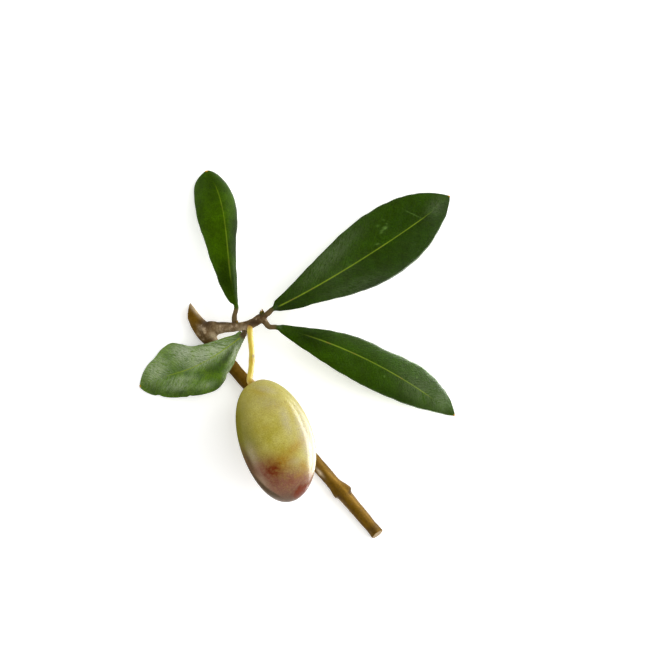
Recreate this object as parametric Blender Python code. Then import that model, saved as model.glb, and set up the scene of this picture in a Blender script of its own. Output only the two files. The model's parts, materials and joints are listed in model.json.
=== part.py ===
"""Olive branch, cut and lying on a flat surface.

A woody stem with one side shoot, four leaves, a fruit stalk and one olive.
The frame has +Z up and the surface at Z = 0. Seen from above, +X is right and
+Y is up the page. The origin is on the surface, below the middle of the branch.
Lengths below are millimetres, and MM turns them into Blender's metres.
"""
import math
from dataclasses import dataclass

import bmesh
import bpy
import numpy as np

MM = 0.001

# Space between neighbouring pieces
GAP = 0.3

# Woody stem: its line from the proximal cut to the distal cut, seen from above
STEM_LINE = ((-27.5, 11.1), (-23.8, 5.8), (-20.2, 1.3), (-8.0, -12.9), (5.4, -28.3), (12.1, -35.8),
             (20.4, -45.6))
# Radius at each share of the stem's length
STEM_RADII = ((0.0, 1.50), (0.08, 2.02), (0.16, 1.58), (0.5, 1.70), (0.71, 1.76),
              (0.76, 1.66), (0.81, 1.84), (0.9, 1.68), (0.97, 1.56), (1.0, 1.60))
STEM_SIDES = 14
# Outward normals of the two cuts; the distal one leans towards the viewer above
PROXIMAL_CUT = (-0.98, 0.14, -0.12)
DISTAL_CUT = (0.60, -0.73, 0.33)
CUT_REACH = 3.2


@dataclass
class Swelling:
    """A raised place on the stem: where, on which side of the page, how high and how far it reaches."""
    share: float
    side: int
    height: float
    rise: float
    fall: float
    spread: float


# The fork's shoulder, and the ledges left by an opposite pair of fallen leaves
RIGHT, LEFT = 1, -1
SWELLINGS = (Swelling(0.095, RIGHT, 0.95, 1.9, 2.2, 0.8),
             Swelling(0.818, RIGHT, 0.95, 2.3, 0.45, 0.62),
             Swelling(0.809, LEFT, 0.50, 2.3, 0.45, 0.62))
SCAR_SHARE = SWELLINGS[1].share
# Swellings face this far above the level, in radians
SWELLING_LIFT = 0.35
# Sine of the angle below which a section belongs to the flat underside
UNDERSIDE = -0.9
# Rings of the stem: start and end of each run as shares of its length, and how many there are
STEM_RUNS = ((0, 0.05, 5), (0.05, 0.2, 8), (0.2, SCAR_SHARE - 0.06, 12),
             (SCAR_SHARE - 0.06, SCAR_SHARE + 0.06, 17), (SCAR_SHARE + 0.06, 0.96, 3), (0.96, 1, 5))

# Side shoot, from inside the stem to its end between the two upper leaves
SHOOT_LINE = ((-23.2, 5.9, 2.55), (-20.6, 6.6, 3.2), (-18.2, 6.85, 4.4), (-15.6, 7.0, 5.8),
              (-13.0, 7.3, 7.2), (-10.7, 8.1, 8.5), (-9.2, 9.0, 9.3), (-8.2, 9.4, 9.8))
SHOOT_RADII = ((0.0, 2.45), (0.08, 2.2), (0.24, 1.5), (0.42, 1.22), (0.6, 1.14), (0.8, 1.14), (0.93, 1.22),
               (1.0, 0.75))
SHOOT_SIDES = 12
# Even rings as far as the taper of its end, then one between
SHOOT_RINGS = 17
SHOOT_TAPER = 0.93

# Buds: foot, tip and greatest radius
END_BUD = ((-8.5, 9.2, 9.9), (-8.8, 11.3, 10.9), 0.62)
AXIL_BUD = ((-15.1, 7.4, 6.3), (-14.9, 8.8, 6.9), 0.42)
BUD_SIDES = 8
BUD_RINGS = 6
# A bud is thickest below its middle, and its last ring is just short of its point
BUD_GIRTHS = ((0, 0.75), (0.42, 1.0), (1.0, 0.1))
BUD_POINT_SHARE = 0.97

# Cushions on the shoot that carry the leaves: length, and girth beside the petiole's
CUSHION_LENGTH = 1.75
CUSHION_GIRTHS = ((0, 1.45), (1, 1.08))
CUSHION_RINGS = 4

# Fruit stalk: where it leaves the shoot, which way, and the places it passes
STALK_SHARE = 0.735
STALK_LEAVES = (0.10, -0.60, 0.80)
STALK_CLEARANCE = 0.45
STALK_LINE = ((-11.6, 4.7, 9.95), (-11.4, 2.7, 10.0), (-11.25, 0.7, 10.0), (-11.2, -0.8, 9.95),
              (-11.35, -2.8, 9.9), (-11.55, -4.5, 9.8))
STALK_RADII = ((0.0, 0.62), (0.12, 0.74), (0.45, 0.70), (0.56, 0.80), (0.66, 0.70), (0.86, 0.74),
               (0.96, 1.0), (1.0, 0.9))
# Straight lengths at its two ends
STALK_LEAD = 0.5
STALK_ARRIVAL = 1.1
STALK_SIDES = 10
# Even rings as far as the collar on the olive, then closer ones
STALK_RINGS = 16
STALK_COLLAR = (0.9, 0.94, 0.98, 1.0)

# Olive: middle, half length, half breadth and the way its stalk end points
OLIVE_MIDDLE = (-5.2, -21.0, 12.7)
OLIVE_HALF_LENGTH = 15.7
OLIVE_HALF_BREADTH = 9.2
OLIVE_AXIS = (-0.3275, 0.940, -0.093)
# The flank on the right bulges and both ends bend to the left
OLIVE_BULGE = 0.2
OLIVE_BEND = 0.35
OLIVE_TIP_BEND = 1.0
# The stalk's pit sits beside the end: its direction on the unit ball
PIT_DIRECTION = (-0.11, -0.05, 0.99)
PIT_DEPTH = 0.62
PIT_SPREAD = 0.19
OLIVE_SIDES = 28
OLIVE_RINGS = 18
# Rings crowd towards the pit by this power
OLIVE_CROWDING = 1.25

# Colour and roughness
BARK = ("#7a5f33", 0.7)
FRUIT_SKIN = ("#a8a04a", 0.35)
STALK_SKIN = ("#d8bd4c", 0.5)
LEAF_ROUGHNESS = 0.45
# Edges sharper than this stay sharp in the shading
SHARP_ANGLE = math.radians(40)

# Leaf blades
BLADE_THICKNESS = 0.62
# The petiole flattens into the blade over this share of the midrib
BLADE_FOOT_SHARE = 0.045
BLADE_POINTS = 9
BLADE_RINGS = 34
PETIOLE_RINGS = 5
PETIOLE_HANDLE = 0.4
TIP_HALF_WIDTH = 0.22


@dataclass
class Half:
    """One half of a leaf: its outline beside the midrib and how it hangs."""
    width: float
    rise: float
    fall: float
    droop: float
    curl: float
    waves: tuple = ()


@dataclass
class Leaf:
    """A leaf: midrib as four control points, petiole from the shoot, and two halves."""
    name: str
    midrib: tuple
    cushion: tuple
    cushion_way: tuple
    petiole_radius: float
    left: Half
    right: Half
    colour: str


LEAVES = (
    Leaf("leaf_upper_left",
         midrib=((-15.3, 12.5, 7.4), (-18.4, 24.0, 9.4), (-16.3, 38.1, 7.0), (-23.0, 46.5, 2.2)),
         cushion=(-15.75, 7.3, 5.8), cushion_way=(0.0, 0.95, 0.31), petiole_radius=0.58,
         left=Half(5.75, 0.71, 0.25, 0.16, 0.10, waves=((0.66, 1.1, 0.25),)),
         right=Half(3.55, 1.2, 0.68, 0.25, 0.70, waves=((0.42, -1.0, 0.19),)),
         colour="#2b4709"),
    Leaf("leaf_upper_right",
         midrib=((-6.0, 11.4, 10.5), (9.3, 18.5, 7.0), (35.8, 36.4, 4.9), (38.6, 40.2, 0.39)),
         cushion=(-8.6, 9.3, 9.7), cushion_way=(0.78, 0.60, 0.18), petiole_radius=0.60,
         left=Half(9.0, 1.27, 0.77, 0.10, 0.10, waves=((0.02, 0.85, 0.25),)),
         right=Half(8.0, 1.43, 1.0, 0.10, 0.10, waves=((0.09, 0.7, 0.09),)),
         colour="#2a4307"),
    Leaf("leaf_lower_right",
         midrib=((-5.0, 6.9, 9.9), (12.1, 3.0, 8.4), (28.1, -5.9, 5.2), (39.9, -15.5, 0.48)),
         cushion=(-8.6, 9.0, 9.5), cushion_way=(0.62, -0.78, 0.05), petiole_radius=0.62,
         left=Half(5.65, 1.48, 0.84, 0.15, 0.22, waves=((0.05, 0.3, 0.25), (0.55, -1.15, 0.13))),
         right=Half(6.2, 0.98, 0.88, 0.10, 0.06),
         colour="#29450a"),
    Leaf("leaf_lower_left",
         midrib=((-13.4, 4.6, 8.1), (-27.2, -5.9, 8.2), (-28.6, -3.0, 2.6), (-40.1, -8.1, 0.43)),
         cushion=(-12.7, 7.2, 7.3), cushion_way=(-0.25, -0.92, 0.30), petiole_radius=0.60,
         left=Half(5.9, 1.08, 0.61, 0.10, 0.03, waves=((0.38, 2.45, 0.21),)),
         right=Half(7.8, 1.28, 0.88, 0.10, 0.06,
                    waves=((0.0, 1.35, 0.075), (0.24, -0.9, 0.10), (0.42, -2.05, 0.13))),
         colour="#4d6a31"),
)


def unit(vector):
    vector = np.asarray(vector, float)
    return vector / np.linalg.norm(vector)


def steps(pairs, x):
    """A smooth value at x between pairs of place and value."""
    places = np.array([pair[0] for pair in pairs])
    values = np.array([pair[1] for pair in pairs])
    i = np.clip(np.searchsorted(places, x) - 1, 0, len(places) - 2)
    t = np.clip((x - places[i]) / (places[i + 1] - places[i]), 0, 1)
    t = t * t * (3 - 2 * t)
    return values[i] * (1 - t) + values[i + 1] * t


def through(points, samples=24):
    """Dense points on a smooth curve through the given ones."""
    points = np.asarray(points, float)
    padded = np.vstack([2 * points[0] - points[1], points, 2 * points[-1] - points[-2]])
    t = np.linspace(0, 1, samples, endpoint=False)[:, None]
    dense = []
    for p0, p1, p2, p3 in zip(padded, padded[1:], padded[2:], padded[3:]):
        dense.append(0.5 * (2 * p1 + (p2 - p0) * t + (2 * p0 - 5 * p1 + 4 * p2 - p3) * t ** 2
                            + (3 * p1 - p0 - 3 * p2 + p3) * t ** 3))
    dense.append(points[-1:])
    return np.vstack(dense)


def bezier(points, samples=200):
    """Dense points on the cubic curve of four control points."""
    p0, p1, p2, p3 = np.asarray(points, float)
    t = np.linspace(0, 1, samples)[:, None]
    return (1 - t) ** 3 * p0 + 3 * (1 - t) ** 2 * t * p1 + 3 * (1 - t) * t ** 2 * p2 + t ** 3 * p3


def at_shares(line, shares):
    """Points and tangents at shares of a dense line's length."""
    lengths = np.r_[0, np.cumsum(np.linalg.norm(np.diff(line, axis=0), axis=1))]
    places = np.asarray(shares) * lengths[-1]
    points = np.column_stack([np.interp(places, lengths, axis) for axis in line.T])
    slopes = np.gradient(line, lengths, axis=0)
    tangents = np.column_stack([np.interp(places, lengths, axis) for axis in slopes.T])
    return points, tangents / np.linalg.norm(tangents, axis=1)[:, None]


def side_and_up(tangent):
    """The level direction to the right of a tangent, and the one square to both."""
    side = unit(np.cross(tangent, (0, 0, 1)))
    return side, np.cross(side, tangent)


def ring_angles(sides):
    """Angles round a section, with a flat facet underneath."""
    return -math.pi / 2 + (np.arange(sides) + 0.5) * 2 * math.pi / sides


def round_section(radius, tangent, angles):
    """Points round a line, about its centre; angle 0 is on the right of the line and 90 degrees is above."""
    side, up = side_and_up(tangent)
    return np.outer(radius * np.cos(angles), side) + np.outer(radius * np.sin(angles), up)


def tube_rings(points, tangents, radii, sides):
    """Round sections along a line."""
    angles = ring_angles(sides)
    return np.array([point + round_section(radius, tangent, angles)
                     for point, tangent, radius in zip(points, tangents, radii)])


def mesh_object(name, vertices, faces, colour, roughness):
    """A mesh object in metres, triangulated and with its own material."""
    mesh = bpy.data.meshes.new(name)
    mesh.from_pydata([tuple(v) for v in np.asarray(vertices) * MM], [], faces)
    solid = bmesh.new()
    solid.from_mesh(mesh)
    bmesh.ops.triangulate(solid, faces=solid.faces[:])
    bmesh.ops.recalc_face_normals(solid, faces=solid.faces[:])
    solid.to_mesh(mesh)
    solid.free()
    mesh.shade_smooth()
    mesh.set_sharp_from_angle(angle=SHARP_ANGLE)
    mesh.materials.append(finish(name, colour, roughness))
    thing = bpy.data.objects.new(name, mesh)
    bpy.context.scene.collection.objects.link(thing)
    return thing


def finish(name, colour, roughness):
    """A Principled material from an sRGB hex colour."""
    material = bpy.data.materials.new(name)
    material.use_nodes = True
    shader = material.node_tree.nodes["Principled BSDF"]
    channels = [int(colour[i:i + 2], 16) / 255 for i in (1, 3, 5)]
    linear = [c / 12.92 if c <= 0.04045 else ((c + 0.055) / 1.055) ** 2.4 for c in channels]
    shader.inputs["Base Color"].default_value = (*linear, 1)
    shader.inputs["Roughness"].default_value = roughness
    shader.inputs["Metallic"].default_value = 0
    return material


def skin_rings(rings):
    """Faces over a stack of rings, with a flat cap at each end."""
    count, sides = rings.shape[:2]
    faces = [tuple(range(sides)), tuple((count - 1) * sides + k for k in reversed(range(sides)))]
    for i in range(count - 1):
        for k in range(sides):
            right = (k + 1) % sides
            faces.append((i * sides + k, (i + 1) * sides + k, (i + 1) * sides + right, i * sides + right))
    return rings.reshape(-1, 3), faces


def stem_shares():
    """Places along the stem, closer at the cuts, the fork and the leaf scars."""
    shares = [np.linspace(start, end, count, endpoint=False) for start, end, count in STEM_RUNS]
    return np.append(np.concatenate(shares), 1.0)


def swollen_height(share, length, angles):
    """How far the swellings stand out of the stem round one section."""
    height = np.zeros(len(angles))
    for swelling in SWELLINGS:
        along = (share - swelling.share) * length
        reach = swelling.rise if along < 0 else swelling.fall
        # The stem's line runs down the page, so the page's right is on the line's left
        facing = math.pi - SWELLING_LIFT if swelling.side == RIGHT else SWELLING_LIFT
        turn = np.angle(np.exp(1j * (angles - facing)))
        height += swelling.height * math.exp(-(along / reach) ** 2) * np.exp(-(turn / swelling.spread) ** 2)
    # The underside lies flat on the surface
    height[np.sin(angles) < UNDERSIDE] = 0
    return height


def lean_to_cut(ring, point, tangent, cut, amount):
    """Shift a section's points along the stem towards the plane of a slanting cut."""
    offsets = ring - point
    shift = -(offsets @ np.asarray(cut)) / (tangent @ np.asarray(cut))
    return ring + amount * shift[:, None] * tangent


def build_main_stem():
    line = through([(x, y, 0) for x, y in STEM_LINE])
    length = np.linalg.norm(np.diff(line, axis=0), axis=1).sum()
    shares = stem_shares()
    points, tangents = at_shares(line, shares)
    angles = ring_angles(STEM_SIDES)
    rings = []
    for share, point, tangent in zip(shares, points, tangents):
        radius = steps(STEM_RADII, share)
        # The lowest facet lies on the surface all along
        centre = point + (0, 0, radius * math.cos(math.pi / STEM_SIDES))
        ring = centre + round_section(radius + swollen_height(share, length, angles), tangent, angles)
        near_start = max(0, 1 - share * length / CUT_REACH)
        near_end = max(0, 1 - (1 - share) * length / CUT_REACH)
        ring = lean_to_cut(ring, centre, tangent, PROXIMAL_CUT, near_start)
        ring = lean_to_cut(ring, centre, tangent, DISTAL_CUT, near_end)
        rings.append(ring)
    return skin_rings(np.array(rings))


def shoot_at(shares):
    points, tangents = at_shares(through(SHOOT_LINE), shares)
    return points, tangents, np.array([steps(SHOOT_RADII, share) for share in shares])


def build_side_shoot():
    shares = np.append(np.linspace(0, SHOOT_TAPER, SHOOT_RINGS), ((1 + SHOOT_TAPER) / 2, 1.0))
    points, tangents, radii = shoot_at(shares)
    return skin_rings(tube_rings(points, tangents, radii, SHOOT_SIDES))


def build_bud(foot, tip, radius):
    shares = np.linspace(0, BUD_POINT_SHARE, BUD_RINGS)
    girths = [radius * steps(BUD_GIRTHS, share) for share in shares]
    points, tangents = at_shares(np.array((foot, tip), float), shares)
    return skin_rings(tube_rings(points, tangents, girths, BUD_SIDES))


def cushion_end(leaf):
    """Where a leaf's cushion on the shoot ends and its petiole starts, without the gap."""
    return np.asarray(leaf.cushion) + CUSHION_LENGTH * unit(leaf.cushion_way)


def build_cushion(leaf):
    shares = np.linspace(0, 1, CUSHION_RINGS)
    points, ways = at_shares(np.array((leaf.cushion, cushion_end(leaf)), float), shares)
    girths = [leaf.petiole_radius * steps(CUSHION_GIRTHS, share) for share in shares]
    return skin_rings(tube_rings(points, ways, girths, BUD_SIDES))


def build_stem():
    """The stem, its side shoot, cushions and buds joined into one solid."""
    pieces = [build_main_stem(), build_side_shoot(), build_bud(*END_BUD), build_bud(*AXIL_BUD)]
    pieces += [build_cushion(leaf) for leaf in LEAVES]
    stem = mesh_object("stem", *pieces[0], *BARK)
    for i, piece in enumerate(pieces[1:]):
        other = mesh_object(f"joined_{i}", *piece, *BARK)
        union = stem.modifiers.new(other.name, "BOOLEAN")
        union.operation = "UNION"
        union.solver = "EXACT"
        union.object = other
        joined = bpy.data.meshes.new_from_object(stem.evaluated_get(bpy.context.evaluated_depsgraph_get()))
        stem.modifiers.clear()
        stem.data = joined
        joined.name = "stem"
        bpy.data.objects.remove(other)
    return stem


def half_width(half, share):
    """Distance from the midrib to one margin, by a curve that rises to its peak and falls."""
    peak = half.rise / (half.rise + half.fall)
    share = np.clip(share, 1e-6, 1 - 1e-6)
    width = half.width * (share / peak) ** half.rise * ((1 - share) / (1 - peak)) ** half.fall
    for place, amount, breadth in half.waves:
        width += amount * math.exp(-((share - place) / breadth) ** 2)
    return width


def petiole_line(leaf, blade):
    """The petiole's curve, from its flat end at the cushion to the foot of the blade."""
    way = unit(leaf.cushion_way)
    start = cushion_end(leaf) + GAP * way
    handle = PETIOLE_HANDLE * np.linalg.norm(blade[0] - start)
    return bezier((start, start + handle * way, blade[0] - handle * unit(blade[1] - blade[0]), blade[0]))


def blade_section(leaf, share, tangent, across):
    """One section of the blade about the midrib: its upper face, then its lower face backwards."""
    right = unit(np.cross(tangent, (0, 0, 1)))
    narrow = leaf.petiole_radius * (1 - share) ** 3
    upper, lower = [], []
    for u in across:
        half = leaf.right if u > 0 else leaf.left
        width = max(half_width(half, share) + narrow, TIP_HALF_WIDTH)
        drop = (half.droop + half.curl * u * u) * abs(u) * width
        slope = half.droop + 3 * half.curl * u * u
        # Measured straight up, a sloping sheet is thicker than it is square to its face
        thickness = BLADE_THICKNESS * math.sqrt(1 + slope ** 2)
        middle = right * u * width - np.array((0, 0, drop))
        upper.append(middle + (0, 0, thickness / 2))
        lower.append(middle - (0, 0, thickness / 2))
    return np.array(upper + lower[::-1])


def leaf_rings(leaf):
    """Sections of a leaf, from the petiole's flat end to the tip."""
    upper_angles = math.pi * (1 - (np.arange(BLADE_POINTS) + 0.5) / BLADE_POINTS)
    angles = np.concatenate([upper_angles, -upper_angles[::-1]])
    across = np.cos(upper_angles) / math.cos(upper_angles[-1])
    blade = bezier(leaf.midrib)
    points, tangents = at_shares(petiole_line(leaf, blade), np.linspace(0, 1, PETIOLE_RINGS, endpoint=False))
    rings = [point + round_section(leaf.petiole_radius, tangent, angles)
             for point, tangent in zip(points, tangents)]
    shares = (1 - np.cos(np.linspace(0, math.pi, BLADE_RINGS))) / 2
    for share, point, tangent in zip(shares, *at_shares(blade, shares)):
        flat = steps(((0, 0), (BLADE_FOOT_SHARE, 1)), share)
        tube = round_section(leaf.petiole_radius, tangent, angles)
        rings.append(point + tube * (1 - flat) + blade_section(leaf, share, tangent, across) * flat)
    return np.array(rings)


def skin_leaf(rings):
    """Triangles over a leaf, with the same diagonals on its upper and lower faces."""
    count, around = rings.shape[:2]
    faces = []
    for i in range(count - 1):
        for k in range(around):
            a, b = i * around + k, i * around + (k + 1) % around
            c, d = (i + 1) * around + (k + 1) % around, (i + 1) * around + k
            if k < around // 2:
                faces += [(a, c, b), (a, d, c)]
            else:
                faces += [(a, d, b), (b, d, c)]
    for first in (0, (count - 1) * around):
        for k in range(around // 2 - 1):
            a, b = first + k, first + k + 1
            c, d = first + around - 2 - k, first + around - 1 - k
            faces.append((a, b, c, d))
    return rings.reshape(-1, 3), faces


def build_leaf(leaf):
    return mesh_object(leaf.name, *skin_leaf(leaf_rings(leaf)), leaf.colour, LEAF_ROUGHNESS)


def olive_axes():
    """The olive's own directions: right of its length, towards the viewer above, and its length."""
    length = unit(OLIVE_AXIS)
    right = unit(np.cross(length, (0, 0, 1)))
    return np.array((right, np.cross(right, length), length))


def olive_point(direction):
    """The olive's surface in a direction on the unit ball, without the pit."""
    x, y, z = direction
    bend = OLIVE_BULGE - (OLIVE_BEND if z > 0 else OLIVE_TIP_BEND) * z * z
    local = np.array((OLIVE_HALF_BREADTH * x + bend, OLIVE_HALF_BREADTH * y, OLIVE_HALF_LENGTH * z))
    return np.asarray(OLIVE_MIDDLE) + local @ olive_axes()


def pit_frame():
    """Two directions square to the pit's direction, and the pit's own, on the unit ball."""
    centre = unit(PIT_DIRECTION)
    first = unit(np.cross((0, 1, 0), centre))
    return first, np.cross(centre, first), centre


def pit_seat():
    """The middle of the pit's floor and the way out of it."""
    _, _, centre = pit_frame()
    x, y, z = centre
    normal = np.array((x / OLIVE_HALF_BREADTH, y / OLIVE_HALF_BREADTH, z / OLIVE_HALF_LENGTH))
    out = unit(normal @ olive_axes())
    return olive_point(centre) - PIT_DEPTH * out, out


def build_olive():
    first, second, centre = pit_frame()
    _, out = pit_seat()
    vertices = [pit_seat()[0]]
    for i in range(1, OLIVE_RINGS):
        share = i / OLIVE_RINGS
        polar = math.pi * share ** OLIVE_CROWDING
        depth = PIT_DEPTH * math.exp(-(polar / PIT_SPREAD) ** 2)
        for k in range(OLIVE_SIDES):
            turn = 2 * math.pi * k / OLIVE_SIDES
            ring_way = math.cos(turn) * first + math.sin(turn) * second
            direction = math.cos(polar) * centre + math.sin(polar) * ring_way
            vertices.append(olive_point(direction) - depth * out)
    vertices.append(olive_point(-centre))
    last = len(vertices) - 1
    faces = []
    for k in range(OLIVE_SIDES):
        right = (k + 1) % OLIVE_SIDES
        faces.append((0, 1 + k, 1 + right))
        low = 1 + (OLIVE_RINGS - 2) * OLIVE_SIDES
        faces.append((last, low + right, low + k))
        for i in range(OLIVE_RINGS - 2):
            upper, lower = 1 + i * OLIVE_SIDES, 1 + (i + 1) * OLIVE_SIDES
            faces.append((upper + k, lower + k, lower + right, upper + right))
    return mesh_object("olive", vertices, faces, *FRUIT_SKIN)


def build_fruit_stalk():
    points, _, radii = shoot_at(np.array((STALK_SHARE,)))
    leave = unit(STALK_LEAVES)
    start = points[0] + leave * (radii[0] + STALK_CLEARANCE)
    floor, out = pit_seat()
    end = floor + GAP * out
    line = through([start, start + STALK_LEAD * leave, *STALK_LINE, end + STALK_ARRIVAL * out, end])
    shares = np.append(np.linspace(0, STALK_COLLAR[0], STALK_RINGS), STALK_COLLAR[1:])
    places, tangents = at_shares(line, shares)
    tangents[0] = leave
    tangents[-1] = -out
    girths = [steps(STALK_RADII, share) for share in shares]
    rings = tube_rings(places, tangents, girths, STALK_SIDES)
    return mesh_object("fruit_stalk", *skin_rings(rings), *STALK_SKIN)


def main():
    for thing in list(bpy.data.objects):
        bpy.data.objects.remove(thing)
    build_stem()
    for leaf in LEAVES:
        build_leaf(leaf)
    build_fruit_stalk()
    build_olive()


main()
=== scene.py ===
"""Olive branch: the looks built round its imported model.

The file is laid out as an add-on and is run as a script. Each operator builds one
piece of the branch, or a group of like pieces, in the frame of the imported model:
+Z up, the surface at Z = 0, +X right and +Y up the page as the camera sees it.
Shapes are worked out in millimetres, and MM turns them into metres.
"""

import json
import math
import random
from dataclasses import dataclass

import bpy
import numpy as np
from bpy.props import FloatProperty, FloatVectorProperty, IntProperty, PointerProperty
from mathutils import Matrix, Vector, kdtree, noise

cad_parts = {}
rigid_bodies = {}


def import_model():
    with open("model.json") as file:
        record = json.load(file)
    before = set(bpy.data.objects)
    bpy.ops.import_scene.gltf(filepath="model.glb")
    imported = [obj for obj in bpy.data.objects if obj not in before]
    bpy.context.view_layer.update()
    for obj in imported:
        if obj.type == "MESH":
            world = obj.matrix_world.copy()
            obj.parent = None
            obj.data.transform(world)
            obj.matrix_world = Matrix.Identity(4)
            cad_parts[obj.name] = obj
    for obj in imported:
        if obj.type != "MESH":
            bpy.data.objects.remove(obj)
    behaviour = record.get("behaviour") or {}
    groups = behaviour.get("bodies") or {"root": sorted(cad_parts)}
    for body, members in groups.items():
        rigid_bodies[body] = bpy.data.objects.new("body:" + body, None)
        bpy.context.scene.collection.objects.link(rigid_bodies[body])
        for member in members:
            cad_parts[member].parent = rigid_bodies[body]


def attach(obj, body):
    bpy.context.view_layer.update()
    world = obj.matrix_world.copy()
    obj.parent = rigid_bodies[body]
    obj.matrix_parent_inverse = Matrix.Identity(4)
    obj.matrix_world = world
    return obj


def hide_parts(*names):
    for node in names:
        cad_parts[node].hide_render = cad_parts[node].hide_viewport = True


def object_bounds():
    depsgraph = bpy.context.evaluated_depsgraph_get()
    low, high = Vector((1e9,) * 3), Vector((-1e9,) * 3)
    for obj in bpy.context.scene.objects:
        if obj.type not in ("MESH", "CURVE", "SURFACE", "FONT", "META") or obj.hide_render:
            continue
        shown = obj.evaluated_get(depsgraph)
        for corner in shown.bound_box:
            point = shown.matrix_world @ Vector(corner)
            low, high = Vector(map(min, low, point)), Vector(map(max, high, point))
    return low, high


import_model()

bl_info = {
    "name": "Olive Branch",
    "version": (1, 0, 0),
    "blender": (4, 5, 0),
    "location": "View3D > Sidebar > Olive Branch",
    "description": "Builds the finished pieces of a cut olive branch and its stage",
    "category": "Add Mesh",
}

MM = 0.001
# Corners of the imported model's box, which the finished one keeps inside
LOWEST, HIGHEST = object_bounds()

# Sockets of the Mix node when it mixes colours
MIX_SHARE, MIX_FIRST, MIX_SECOND, MIX_RESULT = 0, 6, 7, 2

# Woody stem, seen from above, and its radius at each share of its length
STEM_LINE = ((-27.5, 11.1), (-23.8, 5.8), (-20.2, 1.3), (-8.0, -12.9), (5.4, -28.3), (12.1, -35.8),
             (20.4, -45.6))
STEM_RADII = ((0.0, 1.50), (0.08, 2.02), (0.16, 1.58), (0.5, 1.70), (0.71, 1.76),
              (0.76, 1.66), (0.81, 1.84), (0.9, 1.68), (0.97, 1.56), (1.0, 1.60))
STEM_SIDES = 40
STEM_RINGS = 260
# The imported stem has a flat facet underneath, this share of the radius below its middle
STEM_SEAT = math.cos(math.pi / 14)
# Its length, rounded, for distances between places that are given as shares of it
STEM_LENGTH_ROUNDED = 75
# Directions of the two cuts, and how far from them the sections lean towards them
PROXIMAL_CUT = (-0.98, 0.14, -0.12)
DISTAL_CUT = (0.60, -0.73, 0.33)
CUT_REACH = 3.2

# Side shoot, from inside the stem to its end between the two upper leaves
SHOOT_LINE = ((-23.2, 5.9, 2.55), (-20.6, 6.6, 3.2), (-18.2, 6.85, 4.4), (-15.6, 7.0, 5.8),
              (-13.0, 7.3, 7.2), (-10.7, 8.1, 8.5), (-9.2, 9.0, 9.3), (-8.2, 9.4, 9.8))
SHOOT_RADII = ((0.0, 2.45), (0.08, 2.2), (0.24, 1.5), (0.42, 1.22), (0.6, 1.14), (0.8, 1.14), (0.93, 1.22),
               (1.0, 0.75))
SHOOT_SIDES = 32
SHOOT_RINGS = 90
# Points on its line from which places on the bark are measured
SHOOT_SAMPLES = 300
# Rounding of the joints between the woody parts: how strong it is, and how often it is done
JOINT_ROUNDING = 0.5
JOINT_ROUNDS = 8

# Bark: ridges are drawn out along the wood, and this fine round it
RIDGE_SIZE = 0.5
RIDGE_LENGTHENING = 6
RIDGE_SPREAD = 1.7
# Height and size of its low waves, and of the shoot's roughness
BARK_WAVE_HEIGHT = 0.09
BARK_WAVE_SIZE = 1.8
SHOOT_ROUGHNESS_HEIGHT = 0.05
SHOOT_ROUGHNESS_SIZE = 0.5
# Streaks where it is worn or dark are drawn out in the same way
STREAK_LENGTHENING = 5
STREAK_SPREAD = 3
# Reach of the smallest and the largest corky pore
SMALLEST_PORE = 0.16
LARGEST_PORE = 0.34
# How strongly their colour shows on the shoot, and the share of that on the stem
PORE_STRENGTH = 0.7
PORE_ON_STEM = 0.12

# Buds: foot, tip and greatest radius
END_BUD = ((-8.6, 9.6, 9.9), (-8.8, 11.7, 10.7), 0.62)
AXIL_BUD = ((-15.1, 7.4, 6.3), (-14.9, 8.8, 6.9), 0.42)
BUD_SCALES = 4
# Rows and columns of points over one scale, its thickness and how far round the bud it reaches
SCALE_ROWS = 9
SCALE_COLUMNS = 9
SCALE_THICKNESS = 0.07
SCALE_HALF_ANGLE = 0.95

# Cushions on the shoot that carry the leaves
CUSHION_LENGTH = 1.75
CUSHION_GIRTHS = ((0, 1.45), (1, 1.08))
CUSHION_RINGS = 14
CUSHION_SIDES = 20
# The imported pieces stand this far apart, and the finished ones run this deep into each other
GAP = 0.3
JOIN = 0.45

# Fruit stalk: share of the shoot where it leaves, its direction there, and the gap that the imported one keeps
STALK_SHARE = 0.735
STALK_LEAVES = (0.10, -0.60, 0.80)
STALK_CLEARANCE = 0.45
STALK_LINE = ((-11.6, 4.7, 9.95), (-11.4, 2.7, 10.0), (-11.25, 0.7, 10.0), (-11.2, -0.8, 9.95),
              (-11.35, -2.8, 9.9), (-11.55, -4.5, 9.8))
STALK_RADII = ((0.0, 0.62), (0.12, 0.74), (0.45, 0.70), (0.56, 0.80), (0.66, 0.70), (0.86, 0.74),
               (0.96, 1.0), (1.0, 0.9))
# How far it runs straight from the shoot, and straight down to the olive
STALK_LEAD = 0.5
STALK_ARRIVAL = 1.1
STALK_SIDES = 28
STALK_RINGS = 150
# Low waves in its skin
STALK_WAVE_HEIGHT = 0.05
STALK_WAVE_SIZE = 0.9
# The scar of a fallen flower, on the right of the stalk: place, reach and depth
STALK_SCAR = (-10.80, -0.25, 10.40)
STALK_SCAR_REACH = 0.42
STALK_SCAR_DEPTH = 0.12
# Low folds round the stalk near the olive: height, how close they are, and the shares where they rise
STALK_FOLD_HEIGHT = 0.03
STALK_FOLD_TURNS = 260
STALK_FOLDS_FROM = (0.86, 0.92)

# Olive
OLIVE_MIDDLE = (-5.2, -21.0, 12.7)
OLIVE_HALF_LENGTH = 15.7
OLIVE_HALF_BREADTH = 9.2
OLIVE_AXIS = (-0.3275, 0.940, -0.093)
# How far its middle lies to its right, and how far its stalk end and its far end bend back to the left
OLIVE_BULGE = 0.2
OLIVE_BEND = 0.35
OLIVE_TIP_BEND = 1.0
# The pit at the stalk: its direction in the olive's own ones, its depth and its reach in radians
PIT_DIRECTION = (-0.11, -0.05, 0.99)
PIT_DEPTH = 0.62
PIT_SPREAD = 0.19
OLIVE_SIDES = 180
OLIVE_RINGS = 140
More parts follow.
